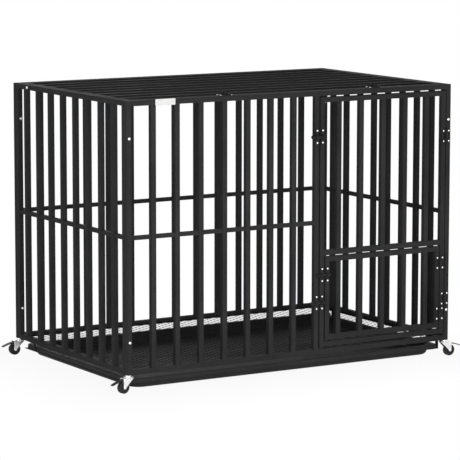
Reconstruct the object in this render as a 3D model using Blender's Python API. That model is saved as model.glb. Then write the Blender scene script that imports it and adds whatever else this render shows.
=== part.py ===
"""A steel dog crate on casters, with a big front door, a small door inside it, a top lid and a tray.

Metres, +Z up, front towards -Y. The origin is on the ground under the middle of the frame.
"""

import math

import bmesh
import bpy
import numpy as np
from mathutils import Matrix, Vector

# Outer frame
WIDTH = 1.100
DEPTH = 0.700
FRAME_HEIGHT = 0.772
TUBE = 0.015
TOUCH = 0.0003

# Bars of the front and back: equal pitches from post to post
PITCHES = 14
JAMB_BAR = 8
MID_RAIL = 0.012
MID_RAIL_HEIGHT = 0.388

# Bars of the end panels: the first one's front from the crate's front, the last one's from its back
END_BARS = 8
END_FIRST_BAR = 0.0798
END_LAST_BAR = 0.0826

# Doors and their gaps
DOOR_LATCH_GAP = 0.004
DOOR_HINGE_GAP = 0.0025
DOOR_TOP_GAP = 0.004
DOOR_BOTTOM_GAP = 0.006
SMALL_OPENING_HEIGHT = 0.255
SMALL_DOOR_GAP = 0.004

# Hinges and latches of the doors: how far in from the bottom or the top of the frame or small door
DOOR_HINGE_RISE = 0.1283
DOOR_HINGE_DROP = 0.1536
DOOR_LATCH_RISE = 0.1531
DOOR_LATCH_DROP = 0.1324
SMALL_HINGE_RISE = 0.0435
SMALL_HINGE_DROP = 0.0495
SMALL_LATCH_DROP = 0.0528

# Lid
LID_GAP = 0.003
LID_HINGE_GAP = 0.008
LID_BARS = 8
LID_LATCH_INSETS = (0.325, 0.267)
LID_HINGE_INSET = 0.250

# Flat leaf hinges of the doors
LEAF_REACH = 0.015
LEAF_HEIGHT = 0.042
LEAF_THICKNESS = 0.0016
KNUCKLE_RADIUS = 0.0034
KNUCKLE_LENGTH = 0.0105
PIN_RADIUS = 0.0015
PIN_CLEARANCE = 0.0003
ROUND_SIDES = 16

# Butt hinges of the lid, in the gap behind it
BUTT_LENGTH = 0.060
BUTT_KNUCKLE = 0.015
BUTT_DROP = 0.0105

# Latches
PLATE_WIDTH = 0.013
PLATE_HEIGHT = 0.044
PLATE_THICKNESS = 0.0015
BARREL_RADIUS = 0.0046
BARREL_LIFT = 0.0057
BOLT_RADIUS = 0.0028
BOLT_CLEARANCE = 0.0005
BOLT_TRAVEL = 0.0095
KNOB_RADIUS = 0.005
KNOB_LENGTH = 0.006

# Name plate, bare
NAME_PLATE_LEFT = 0.091
NAME_PLATE_SIZE = (0.064, 0.0012, 0.018)

# Floor grate: a flat net of diamonds in a plain border
GRATE_HEIGHT = 0.003
GRATE_THICKNESS = 0.002
GRATE_BORDER = 0.014
GRATE_COLUMNS = 11
GRATE_ROWS = 13
GRATE_STRAND = 0.010

# Casters, measured from the stem's axis
CASTER_INSET = (0.0075, 0.010)
WHEEL_RADIUS = 0.0175
WHEEL_WIDTH = 0.014
WHEEL_BORE_CLEARANCE = 0.0003
AXLE_RADIUS = 0.0025
CASTER_TRAIL = 0.018
CASTER_HEAD = 0.015
NECK_RADIUS = 0.008
CROWN_RADIUS = 0.015
RACE_THICKNESS = 0.0018
FORK_TOP = 0.002
FORK_PLATE = 0.0013
FORK_CLEARANCE = 0.0004
FORK_NOSE = 0.011
FORK_FOOT = 0.0045
KINGPIN_RADIUS = 0.0032
KINGPIN_HEAD = (0.0055, 0.0017)
PEDAL_HUB = 0.0026
PEDAL_PIN = 0.0013
PEDAL_REACH = 0.060
PEDAL_DROP = 0.0115
PEDAL_THICKNESS = 0.0036
WHEEL_SIDES = 20
FRONT_LEFT_TRAIL = 188.6

# Tray and its runners
TRAY_SIDE_INSET = 0.018
TRAY_FRONT_INSET = 0.018
TRAY_BACK_INSET = 0.025
TRAY_DROP = 0.015
TRAY_SKIRT = 0.013
TRAY_FLANGE = 0.018
TRAY_WALL = 0.0015
TRAY_RIM_RADIUS = 0.025
TRAY_PAN_RADIUS = 0.040
TRAY_FLOOR_RADIUS = 0.012
TRAY_GROUND_GAP = 0.004
RUNNER_THICKNESS = 0.0015
RUNNER_LEG = 0.0165
RUNNER_INSET = 0.028
HANGER_WIDTH = 0.014
HANGER_FOOT = 0.012
BACK_HANGER_INSET = 0.100

# Planes that follow from them
BASE = 2 * WHEEL_RADIUS + CASTER_HEAD
TOP = BASE + FRAME_HEIGHT
LEFT = -WIDTH / 2
RIGHT = WIDTH / 2
FRONT = -DEPTH / 2
BACK = DEPTH / 2
PITCH = (WIDTH - TUBE) / PITCHES
MID_LOW = BASE + MID_RAIL_HEIGHT - MID_RAIL / 2
MID_HIGH = MID_LOW + MID_RAIL
MID_INSET = (TUBE - MID_RAIL) / 2


def clear_scene():
    for thing in list(bpy.data.objects):
        bpy.data.objects.remove(thing, do_unlink=True)


def material(name, colour, roughness, metallic):
    made = bpy.data.materials.new(name)
    made.use_nodes = True
    shader = made.node_tree.nodes["Principled BSDF"]
    shader.inputs["Base Color"].default_value = (*colour, 1.0)
    shader.inputs["Roughness"].default_value = roughness
    shader.inputs["Metallic"].default_value = metallic
    return made


def black_steel(name):
    return material(name + "_finish", (0.038, 0.038, 0.040), 0.5, 0.1)


def zinc(name):
    return material(name + "_finish", (0.72, 0.73, 0.74), 0.35, 0.9)


def black_plastic(name):
    return material(name + "_finish", (0.02, 0.02, 0.021), 0.55, 0.0)


def white_enamel(name):
    return material(name + "_finish", (0.85, 0.85, 0.84), 0.4, 0.0)


def body(name, place=(0.0, 0.0, 0.0), turn=0.0, parent=None):
    """An empty on a joint's axis, which carries the pieces of one moving body."""
    empty = bpy.data.objects.new(name, None)
    bpy.context.scene.collection.objects.link(empty)
    empty.location = place
    empty.rotation_euler = (0.0, 0.0, turn)
    hang(empty, parent)
    return empty


def hang(thing, parent):
    """Parents a thing without moving it."""
    if parent is None:
        return
    bpy.context.view_layer.update()
    thing.parent = parent
    thing.matrix_parent_inverse = parent.matrix_world.inverted()


def piece(name, mesh, finish, carrier=None, place=None):
    """One named node from a mesh, placed by a matrix or by a location."""
    node = bpy.data.objects.new(name, mesh if mesh.users == 0 else mesh.copy())
    bpy.context.scene.collection.objects.link(node)
    node.data.name = name
    node.data.materials.clear()
    node.data.materials.append(finish(name))
    if isinstance(place, Matrix):
        node.matrix_world = place
    elif place is not None:
        node.location = place
    hang(node, carrier)
    return node


def mesh_from(bm):
    bmesh.ops.recalc_face_normals(bm, faces=bm.faces)
    mesh = bpy.data.meshes.new("shape")
    bm.to_mesh(mesh)
    bm.free()
    return mesh


def box(low, high):
    bm = bmesh.new()
    bmesh.ops.create_cube(bm, size=1.0)
    size = Vector(high) - Vector(low)
    middle = (Vector(high) + Vector(low)) / 2
    bmesh.ops.scale(bm, vec=size, verts=bm.verts)
    bmesh.ops.translate(bm, vec=middle, verts=bm.verts)
    return mesh_from(bm)


def cylinder(start, end, radius, sides=ROUND_SIDES):
    """A round rod between two points."""
    bm = bmesh.new()
    along = Vector(end) - Vector(start)
    turn = along.to_track_quat("Z", "Y").to_matrix().to_4x4()
    place = Matrix.Translation((Vector(start) + Vector(end)) / 2) @ turn
    bmesh.ops.create_cone(
        bm, cap_ends=True, segments=sides, radius1=radius, radius2=radius, depth=along.length, matrix=place
    )
    return mesh_from(bm)


def prism(outline, low, high, axis):
    """An outline of (a, b) points extruded along an axis; a and b are the other two axes in order."""
    others = [k for k in range(3) if k != axis]
    bm = bmesh.new()
    ring = []
    for a, b in outline:
        point = [0.0, 0.0, 0.0]
        point[others[0]] = a
        point[others[1]] = b
        point[axis] = low
        ring.append(bm.verts.new(point))
    bm.faces.new(ring)
    made = bmesh.ops.extrude_face_region(bm, geom=list(bm.faces))
    rise = Vector((0.0, 0.0, 0.0))
    rise[axis] = high - low
    moved = [part for part in made["geom"] if isinstance(part, bmesh.types.BMVert)]
    bmesh.ops.translate(bm, vec=rise, verts=moved)
    return mesh_from(bm)


def turned(profile, axis="Z", sides=ROUND_SIDES, start_angle=0.0, closed=False):
    """A solid of revolution of (radius, along) points; the first and last lie on the axis unless it is a ring."""
    bm = bmesh.new()
    rings = []
    for radius, along in profile:
        if radius == 0.0:
            rings.append([bm.verts.new((0.0, 0.0, along))])
            continue
        ring = []
        for k in range(sides):
            angle = start_angle + 2 * math.pi * k / sides
            ring.append(bm.verts.new((radius * math.cos(angle), radius * math.sin(angle), along)))
        rings.append(ring)
    pairs = list(zip(rings, rings[1:]))
    if closed:
        pairs.append((rings[-1], rings[0]))
    for one, two in pairs:
        for k in range(sides):
            corners = [one[k % len(one)], one[(k + 1) % len(one)], two[(k + 1) % len(two)], two[k % len(two)]]
            bm.faces.new(list(dict.fromkeys(corners)))
    if axis == "Y":
        bmesh.ops.rotate(bm, verts=bm.verts, matrix=Matrix.Rotation(math.pi / 2, 3, "X"))
    return mesh_from(bm)


def fused(base, unions=(), cuts=()):
    """One mesh from a base with other meshes added to it and cut from it."""
    carrier = bpy.data.objects.new("fused_base", base)
    bpy.context.scene.collection.objects.link(carrier)
    helpers = []
    steps = [("UNION", mesh) for mesh in unions] + [("DIFFERENCE", mesh) for mesh in cuts]
    for operation, mesh in steps:
        helper = bpy.data.objects.new("fused_tool", mesh)
        bpy.context.scene.collection.objects.link(helper)
        helpers.append(helper)
        step = carrier.modifiers.new(operation.title(), "BOOLEAN")
        step.operation = operation
        step.object = helper
        step.solver = "EXACT"
    bpy.context.view_layer.update()
    evaluated = carrier.evaluated_get(bpy.context.evaluated_depsgraph_get())
    result = bpy.data.meshes.new_from_object(evaluated)
    for thing in [carrier, *helpers]:
        bpy.data.objects.remove(thing, do_unlink=True)
    return result


def welded(tubes):
    """One closed skin round many boxes that meet: space is split at every box's planes, and each
    filled cell gives the faces that it doesn't share with another filled cell."""
    tubes = np.round(np.array(tubes, float), 7)
    planes = [np.unique(tubes[:, :, axis]) for axis in range(3)]
    filled = np.zeros([len(plane) + 1 for plane in planes], bool)
    for low, high in tubes:
        first = [int(np.searchsorted(planes[k], low[k])) + 1 for k in range(3)]
        last = [int(np.searchsorted(planes[k], high[k])) + 1 for k in range(3)]
        filled[first[0] : last[0], first[1] : last[1], first[2] : last[2]] = True
    bm = bmesh.new()
    corners = {}

    def corner(index):
        if index not in corners:
            corners[index] = bm.verts.new([planes[k][index[k]] for k in range(3)])
        return corners[index]

    for axis in range(3):
        side, other = [k for k in range(3) if k != axis]
        step = np.zeros(3, int)
        step[axis] = 1
        for cell in np.argwhere(filled != np.roll(filled, 1, axis)):
            square = []
            for a, b in ((0, 0), (1, 0), (1, 1), (0, 1)):
                index = cell - 1
                index[side] += a
                index[other] += b
                square.append(corner(tuple(int(value) for value in index)))
            bm.faces.new(square)
    bmesh.ops.recalc_face_normals(bm, faces=bm.faces)
    bmesh.ops.dissolve_limit(bm, angle_limit=math.radians(1.0), verts=bm.verts, edges=bm.edges)
    return mesh_from(bm)


def bars_along_z(places, y_low, low, high):
    return [((x, y_low, low), (x + TUBE, y_low + TUBE, high)) for x in places]


def long_panel(y_low, bars, mid_end):
    """The front or back panel: posts, top and bottom rails, upright bars and a slimmer mid rail."""
    y_high = y_low + TUBE
    tubes = bars_along_z((LEFT, RIGHT - TUBE), y_low, BASE, TOP)
    tubes += bars_along_z([LEFT + PITCH * k for k in bars], y_low, BASE, TOP)
    tubes.append(((LEFT, y_low, BASE), (RIGHT, y_high, BASE + TUBE)))
    tubes.append(((LEFT, y_low, TOP - TUBE), (RIGHT, y_high, TOP)))
    tubes.append(((LEFT, y_low + MID_INSET, MID_LOW), (mid_end, y_high - MID_INSET, MID_HIGH)))
    return welded(tubes)


def end_panel(x_low):
    """A side of the crate: two stiles that stand behind the posts, rails and eight upright bars."""
    x_high = x_low + TUBE
    y_front = FRONT + TUBE + TOUCH
    y_back = BACK - TUBE - TOUCH
    pitch = (DEPTH - END_FIRST_BAR - END_LAST_BAR) / (END_BARS - 1)
    starts = [y_front, y_back - TUBE]
    starts += [FRONT + END_FIRST_BAR + pitch * k for k in range(END_BARS)]
    tubes = [((x_low, y, BASE), (x_high, y + TUBE, TOP)) for y in starts]
    tubes.append(((x_low, y_front, BASE), (x_high, y_back, BASE + TUBE)))
    tubes.append(((x_low, y_front, TOP - TUBE), (x_high, y_back, TOP)))
    tubes.append(((x_low + MID_INSET, y_front, MID_LOW), (x_high - MID_INSET, y_back, MID_HIGH)))
    return welded(tubes)


DOOR_LEFT = LEFT + PITCH * JAMB_BAR + TUBE + DOOR_LATCH_GAP
DOOR_RIGHT = RIGHT - TUBE - DOOR_HINGE_GAP
DOOR_LOW = BASE + TUBE + DOOR_BOTTOM_GAP
DOOR_HIGH = TOP - TUBE - DOOR_TOP_GAP
CROSS_LOW = DOOR_LOW + TUBE + SMALL_OPENING_HEIGHT
SMALL_LEFT = DOOR_LEFT + TUBE + DOOR_LATCH_GAP
SMALL_RIGHT = DOOR_RIGHT - TUBE - DOOR_HINGE_GAP
SMALL_LOW = DOOR_LOW + TUBE + SMALL_DOOR_GAP
SMALL_HIGH = CROSS_LOW - SMALL_DOOR_GAP
DOOR_BARS = [LEFT + PITCH * k for k in range(JAMB_BAR + 1, PITCHES)]


def door_leaf(left, right, low, high, bars_low):
    """A door of square tube in the front plane, with the same bars as the panel."""
    y_low, y_high = FRONT, FRONT + TUBE
    tubes = bars_along_z((left, right - TUBE), y_low, low, high)
    tubes += bars_along_z(DOOR_BARS, y_low, bars_low, high)
    tubes.append(((left, y_low, low), (right, y_high, low + TUBE)))
    tubes.append(((left, y_low, high - TUBE), (right, y_high, high)))
    return tubes


def big_door():
    tubes = door_leaf(DOOR_LEFT, DOOR_RIGHT, DOOR_LOW, DOOR_HIGH, CROSS_LOW)
    tubes.append(((DOOR_LEFT, FRONT, CROSS_LOW), (DOOR_RIGHT, FRONT + TUBE, CROSS_LOW + TUBE)))
    return welded(tubes)


def small_door():
    return welded(door_leaf(SMALL_LEFT, SMALL_RIGHT, SMALL_LOW, SMALL_HIGH, SMALL_LOW))


LID_LEFT = LEFT + TUBE + LID_GAP
LID_RIGHT = RIGHT - TUBE - LID_GAP
LID_FRONT = FRONT + TUBE + LID_GAP
LID_BACK = BACK - TUBE - LID_HINGE_GAP
LID_BAR_PITCH = (LID_BACK - LID_FRONT - TUBE) / (LID_BARS + 1)


def lid():
    low, high = TOP - TUBE, TOP
    tubes = []
    for k in range(LID_BARS + 2):
        y = LID_FRONT + LID_BAR_PITCH * k
        tubes.append(((LID_LEFT, y, low), (LID_RIGHT, y + TUBE, high)))
    for x in (LID_LEFT, LID_RIGHT - TUBE):
        tubes.append(((x, LID_FRONT, low), (x + TUBE, LID_BACK, high)))
    return welded(tubes)


def diamond_cutter():
    """Upright diamonds in staggered rows, clear of each other by the strand's width."""
    span_x = WIDTH - 2 * (TUBE + TOUCH + GRATE_BORDER)
    span_y = DEPTH - 2 * (TUBE + TOUCH + GRATE_BORDER)
    step_x = span_x / GRATE_COLUMNS
    step_y = span_y / GRATE_ROWS
    half_x = step_x / 2 - GRATE_STRAND / 2
    half_y = step_y - GRATE_STRAND / 2
    bm = bmesh.new()
    for row in range(1, 2 * GRATE_ROWS):
        y = -span_y / 2 + step_y * row / 2
        shift = 0.5 if row % 2 else 1.0
        for column in range(GRATE_COLUMNS - (0 if row % 2 else 1)):
            x = -span_x / 2 + step_x * (column + shift)
            points = ((x - half_x, y), (x, y - half_y / 2), (x + half_x, y), (x, y + half_y / 2))
            ring = [bm.verts.new((a, b, BASE)) for a, b in points]
            bm.faces.new(ring)
    made = bmesh.ops.extrude_face_region(bm, geom=list(bm.faces))
    raised = [part for part in made["geom"] if isinstance(part, bmesh.types.BMVert)]
    bmesh.ops.translate(bm, vec=(0.0, 0.0, GRATE_HEIGHT + 2 * GRATE_THICKNESS), verts=raised)
    return mesh_from(bm)


def floor_grate():
    edge = TUBE + TOUCH
    low = (LEFT + edge, FRONT + edge, BASE + GRATE_HEIGHT)
    high = (RIGHT - edge, BACK - edge, BASE + GRATE_HEIGHT + GRATE_THICKNESS)
    return fused(box(low, high), cuts=[diamond_cutter()])


def knuckle_outline(radius, reach, thickness, side):
    """A round knuckle with a tab that leaves it level with its back: (x, y) points, axis at the origin."""
    level = radius - thickness
    start = math.asin(level / radius)
    turns = [start - (start + 1.5 * math.pi) * k / ROUND_SIDES for k in range(ROUND_SIDES + 1)]
    points = [(side * radius * math.cos(turn), radius * math.sin(turn)) for turn in turns]
    return points + [(side * reach, radius), (side * reach, level)]


def leaf_plate(side):
    inner = KNUCKLE_RADIUS + PIN_CLEARANCE
    low_x, high_x = sorted((side * inner, side * LEAF_REACH))
    low = (low_x, KNUCKLE_RADIUS - LEAF_THICKNESS, -LEAF_HEIGHT / 2)
    return box(low, (high_x, KNUCKLE_RADIUS, LEAF_HEIGHT / 2))


def leaf_knuckle(side, low, high):
    reach = KNUCKLE_RADIUS + 2 * PIN_CLEARANCE
    return prism(knuckle_outline(KNUCKLE_RADIUS, reach, LEAF_THICKNESS, side), low, high, 2)


def fixed_leaf():
    """The post's leaf, to +X: two knuckles and the pin that is riveted into them."""
    half = LEAF_HEIGHT / 2
    pin = cylinder((0, 0, -half + KNUCKLE_LENGTH / 2), (0, 0, half - KNUCKLE_LENGTH / 2), PIN_RADIUS)
    lower = leaf_knuckle(1, -half, -half + KNUCKLE_LENGTH)
    upper = leaf_knuckle(1, half - KNUCKLE_LENGTH, half)
    return fused(leaf_plate(1), unions=[lower, upper, pin])


def moving_leaf():
    """The door's leaf, to -X: one knuckle bored for the pin."""
    half = LEAF_HEIGHT / 2 - KNUCKLE_LENGTH - PIN_CLEARANCE
    middle = leaf_knuckle(-1, -half, half)
    bore = cylinder((0, 0, -LEAF_HEIGHT), (0, 0, LEAF_HEIGHT), PIN_RADIUS + PIN_CLEARANCE)
    return fused(leaf_plate(-1), unions=[middle], cuts=[bore])


BUTT_RADIUS = LID_HINGE_GAP / 2 - 2 * TOUCH - PIN_CLEARANCE


def butt_leaf(side, knuckles):
    """A leaf of a lid hinge: axis along X at the origin, the plate hanging down beside it at y = side."""
    outer = LID_HINGE_GAP / 2 - TOUCH
    inner = outer - LEAF_THICKNESS
    low_y, high_y = sorted((side * inner, side * outer))
    half = BUTT_LENGTH / 2
    drop = BUTT_RADIUS + PIN_CLEARANCE
    plate = box((-half, low_y, -BUTT_DROP), (half, high_y, -drop))
    unions = []
    for low, high in knuckles:
        unions.append(cylinder((low, 0, 0), (high, 0, 0), BUTT_RADIUS))
        unions.append(box((low, low_y, -drop - PIN_CLEARANCE), (high, high_y, 0.0)))
    return plate, unions


def butt_fixed_leaf():
    half = BUTT_LENGTH / 2
    plate, unions = butt_leaf(1, ((-half, -half + BUTT_KNUCKLE), (half - BUTT_KNUCKLE, half)))
    reach = half - BUTT_KNUCKLE / 2
    unions.append(cylinder((-reach, 0, 0), (reach, 0, 0), PIN_RADIUS))
    return fused(plate, unions=unions)


def butt_moving_leaf():
    half = BUTT_LENGTH / 2 - BUTT_KNUCKLE - PIN_CLEARANCE
    plate, unions = butt_leaf(-1, ((-half, half),))
    bore = cylinder((-BUTT_LENGTH, 0, 0), (BUTT_LENGTH, 0, 0), PIN_RADIUS + PIN_CLEARANCE)
    return fused(plate, unions=unions, cuts=[bore])


def barrel_plate():
    """A riveted plate with a tube for the bolt, along X; the plate lies 0.3 mm off the face at y = 0."""
    back = -TOUCH
    plate = box(
        (-PLATE_WIDTH / 2, back - PLATE_THICKNESS, -PLATE_HEIGHT / 2), (PLATE_WIDTH / 2, back, PLATE_HEIGHT / 2)
    )
    axis_y = back - BARREL_LIFT
    barrel = cylinder((-PLATE_WIDTH / 2, axis_y, 0), (PLATE_WIDTH / 2, axis_y, 0), BARREL_RADIUS)
    bore = cylinder((-PLATE_WIDTH, axis_y, 0), (PLATE_WIDTH, axis_y, 0), BOLT_RADIUS + BOLT_CLEARANCE)
    return fused(plate, unions=[barrel], cuts=[bore])


BOLT_TIP = TUBE / 2 + DOOR_LATCH_GAP * 0.8
BOLT_TAIL = -(PLATE_WIDTH / 2 + BOLT_TRAVEL + KNOB_LENGTH + TOUCH)


def bolt():
    """A round bolt with a knob, drawn back: its axis is X, through the barrel's middle at the origin."""
    profile = [
        (0.0, BOLT_TAIL),
        (KNOB_RADIUS * 0.7, BOLT_TAIL),
        (KNOB_RADIUS, BOLT_TAIL + KNOB_LENGTH / 4),
        (KNOB_RADIUS, BOLT_TAIL + KNOB_LENGTH * 0.75),
        (BOLT_RADIUS, BOLT_TAIL + KNOB_LENGTH),
        (BOLT_RADIUS, BOLT_TIP - BOLT_RADIUS / 2),
        (BOLT_RADIUS / 2, BOLT_TIP),
        (0.0, BOLT_TIP),
    ]
    mesh = turned(profile)
    mesh.transform(Matrix.Rotation(math.pi / 2, 4, "Y"))
    return mesh


def name_plate():
    left = LEFT + NAME_PLATE_LEFT
    width, thickness, height = NAME_PLATE_SIZE
    middle = TOP - TUBE / 2
    low = (left, FRONT - TOUCH - thickness, middle - height / 2)
    return box(low, (left + width, FRONT - TOUCH, middle + height / 2))


AXLE_HEIGHT = -CASTER_HEAD - WHEEL_RADIUS
FORK_HALF = WHEEL_WIDTH / 2 + FORK_CLEARANCE + FORK_PLATE
PEDAL_PIVOT = (CASTER_TRAIL + 0.002, -CASTER_HEAD + 0.0008 + PEDAL_HUB)
FORK_UNDER = PEDAL_PIVOT[1] + PEDAL_HUB + 0.001
FORK_OVER = FORK_UNDER + FORK_TOP


def caster_stem():
    """Neck, fixed race and kingpin in one turned piece, hanging from z = 0."""
    race_low = FORK_OVER + TOUCH
    head_radius, head_height = KINGPIN_HEAD
    head_high = FORK_UNDER - TOUCH
    profile = [
        (0.0, -TOUCH),
        (NECK_RADIUS, -TOUCH),
        (NECK_RADIUS, race_low + RACE_THICKNESS),
        (CROWN_RADIUS - TOUCH, race_low + RACE_THICKNESS),
        (CROWN_RADIUS - TOUCH, race_low),
        (KINGPIN_RADIUS, race_low),
        (KINGPIN_RADIUS, head_high),
        (head_radius, head_high),
        (head_radius, head_high - head_height),
        (0.0, head_high - head_height),
    ]
    return turned(profile)


def fork_side(y_low):
    """One cheek of the fork: upright behind, slanting from the nose to a round foot at the axle."""
    foot = []
    for k in range(7):
        angle = math.radians(-k * 30.0)
        foot.append((CASTER_TRAIL + FORK_FOOT * math.cos(angle), AXLE_HEIGHT + FORK_FOOT * math.sin(angle)))
    top = FORK_OVER - FORK_TOP / 2
    outline = [(-FORK_NOSE, top), (CASTER_TRAIL + FORK_FOOT, top), *foot, (-FORK_NOSE, FORK_UNDER - 0.001)]
    return prism(outline, y_low, y_low + FORK_PLATE, 1)


def caster_fork():
    crown = cylinder((0, 0, FORK_UNDER), (0, 0, FORK_OVER), CROWN_RADIUS, 20)
    bridge = box((-FORK_NOSE, -FORK_HALF, FORK_UNDER), (CASTER_TRAIL + FORK_FOOT, FORK_HALF, FORK_OVER))
    near, far = fork_side(-FORK_HALF), fork_side(FORK_HALF - FORK_PLATE)
    reach = FORK_HALF + TOUCH
    axle = cylinder((CASTER_TRAIL, -reach, AXLE_HEIGHT), (CASTER_TRAIL, reach, AXLE_HEIGHT), AXLE_RADIUS, 12)
    pin_x, pin_z = PEDAL_PIVOT
    pin = cylinder((pin_x, -reach, pin_z), (pin_x, reach, pin_z), PEDAL_PIN, 10)
    hole = cylinder((0, 0, -CASTER_HEAD), (0, 0, 0), KINGPIN_RADIUS + TOUCH)
    return fused(crown, unions=[bridge, near, far, axle, pin], cuts=[hole])


def caster_wheel():
    """The wheel, turned about Y at the origin, with flats that touch the ground at the true radius."""
    tread = WHEEL_RADIUS / math.cos(math.pi / WHEEL_SIDES)
    shoulder = tread - 0.002
    half = WHEEL_WIDTH / 2
    bore = AXLE_RADIUS + WHEEL_BORE_CLEARANCE
    profile = [
        (bore, -half),
        (shoulder, -half),
        (tread, -half + 0.002),
        (tread, half - 0.002),
        (shoulder, half),
        (bore, half),
    ]
    return turned(profile, "Y", WHEEL_SIDES, math.pi / 2 + math.pi / WHEEL_SIDES, closed=True)


def brake_pedal():
    """A lever from its hub over the wheel down to the tip, in the fork's own frame."""
    x, z = PEDAL_PIVOT
    bend = (x + 0.018, z - 0.002)
    tip = (PEDAL_REACH, z - PEDAL_DROP)
    half = PEDAL_THICKNESS / 2
    outline = [(x, z + half), (bend[0], bend[1] + half), (tip[0], tip[1] + half / 2)]
    outline += [(tip[0], tip[1] - half / 2), (bend[0] - half / 2, bend[1] - half), (x, z - half)]
    width = WHEEL_WIDTH / 2
    arm = prism(outline, -width, width, 1)
    hub = cylinder((x, -width, z), (x, width, z), PEDAL_HUB, 12)
    bore = cylinder((x, -2 * width, z), (x, 2 * width, z), PEDAL_PIN + PIN_CLEARANCE, 10)
    return fused(arm, unions=[hub], cuts=[bore])


TRAY_CENTRE_Y = (TRAY_FRONT_INSET - TRAY_BACK_INSET) / 2


def tray_ring(inset, radius, z, steps=5):
    """A level rounded rectangle: the tray's outline drawn in by an inset."""
    half_x = WIDTH / 2 - TRAY_SIDE_INSET - inset
    half_y = (DEPTH - TRAY_FRONT_INSET - TRAY_BACK_INSET) / 2 - inset
    points = []
    for quarter in range(4):
        sign_x = 1 if quarter in (0, 3) else -1
        sign_y = 1 if quarter in (0, 1) else -1
        for k in range(steps + 1):
            angle = math.pi / 2 * (quarter + k / steps)
            x = sign_x * (half_x - radius) + radius * math.cos(angle)
            y = sign_y * (half_y - radius) + radius * math.sin(angle)
            points.append((x, y + TRAY_CENTRE_Y, z))
    return points


def tray_pan():
    """A pan with a flange and a turned-down skirt: rings run over the top skin and back under it."""
    rim = BASE - TRAY_DROP
    floor = TRAY_GROUND_GAP + TRAY_WALL
    hem = rim - TRAY_SKIRT
    wall = TRAY_WALL
    bend = TRAY_FLOOR_RADIUS
    inner = TRAY_FLANGE
    fillet = []
    for k in range(4):
        angle = math.radians(30.0 * k)
        fillet.append((bend * (1 - math.cos(angle)), bend * (1 - math.sin(angle))))
    rings = [tray_ring(wall, TRAY_RIM_RADIUS - wall, hem), tray_ring(0.0, TRAY_RIM_RADIUS, hem)]
    rings.append(tray_ring(0.0, TRAY_RIM_RADIUS, rim))
    rings.append(tray_ring(inner, TRAY_PAN_RADIUS, rim))
    for inset, up in fillet:
        rings.append(tray_ring(inner + inset, TRAY_PAN_RADIUS - inset, floor + up))
    top_count = len(rings)
    for inset, up in reversed(fillet):
        rings.append(tray_ring(inner - wall + inset, TRAY_PAN_RADIUS + wall - inset, floor - wall + up))
    rings.append(tray_ring(inner - wall, TRAY_PAN_RADIUS + wall, rim - wall))
    rings.append(tray_ring(wall, TRAY_RIM_RADIUS - wall, rim - wall))
    bm = bmesh.new()
    loops = [[bm.verts.new(point) for point in ring] for ring in rings]
    count = len(loops[0])
    for number, (one, two) in enumerate(zip(loops, loops[1:] + loops[:1])):
        if number == top_count - 1:
            bm.faces.new(one)
            bm.faces.new(two)
            continue
        for k in range(count):
            bm.faces.new([one[k], one[(k + 1) % count], two[(k + 1) % count], two[k]])
    return mesh_from(bm)


def tray_runner(side):
    """A strip under the tray's skirt, hung from the end panel's bottom rail by two straps."""
    outer = WIDTH / 2 - TUBE - TOUCH
    leg_high = BASE - TRAY_DROP - TRAY_SKIRT - TOUCH
    leg_low = leg_high - RUNNER_THICKNESS
    inner = WIDTH / 2 - TRAY_SIDE_INSET - RUNNER_LEG + TRAY_WALL
    web = outer - RUNNER_THICKNESS
    foot = outer + HANGER_FOOT
    high = BASE - TOUCH
    spans = [((inner, FRONT + RUNNER_INSET, leg_low), (outer, BACK - RUNNER_INSET, leg_high))]
    for y_low in (FRONT + RUNNER_INSET, BACK - BACK_HANGER_INSET):
        y_high = y_low + HANGER_WIDTH
        spans.append(((web, y_low, leg_low), (outer, y_high, high)))
        spans.append(((web, y_low, high - RUNNER_THICKNESS), (foot, y_high, high)))
    if side > 0:
        return welded(spans)
    return welded([((-high[0], low[1], low[2]), (-low[0], high[1], high[2])) for low, high in spans])


ON_TOP = Matrix(((0, 0, -1, 0), (1, 0, 0, 0), (0, -1, 0, 0), (0, 0, 0, 1)))


def add_panels():
    jamb = LEFT + PITCH * JAMB_BAR + TUBE
    piece("front_panel", long_panel(FRONT, range(1, JAMB_BAR + 1), jamb), black_steel)
    piece("back_panel", long_panel(BACK - TUBE, range(1, PITCHES), RIGHT), black_steel)
    piece("left_panel", end_panel(LEFT), black_steel)
    piece("right_panel", end_panel(RIGHT - TUBE), black_steel)
    piece("floor_grate", floor_grate(), black_steel)
    piece("tray_runner_left", tray_runner(-1), black_steel)
    piece("tray_runner_right", tray_runner(1), black_steel)
    piece("name_plate", name_plate(), white_enamel)


def add_leaf_hinge(name, x, z, post, door):
    place = (x, FRONT - TOUCH - KNUCKLE_RADIUS, z)
    piece(name + "_post_leaf", fixed_leaf(), black_steel, post, place)
    piece(name + "_door_leaf", moving_leaf(), black_steel, door, place)


def add_latch(name, turn, x, y, z, keeper_step, post, door):
    """Barrel, keeper and bolt. The bolt is a body of its own, with its origin on its axis."""
    place = Matrix.Translation((x, y, z)) @ turn
    piece(name + "_barrel", barrel_plate(), black_steel, post, place)
    away = Matrix.Translation((keeper_step, 0, 0))
    piece(name + "_keeper", barrel_plate(), black_steel, door, place @ away)
    lifted = Matrix.Translation((0, -TOUCH - BARREL_LIFT, 0))
    piece(name + "_bolt", bolt(), black_steel, post, place @ lifted)


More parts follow.
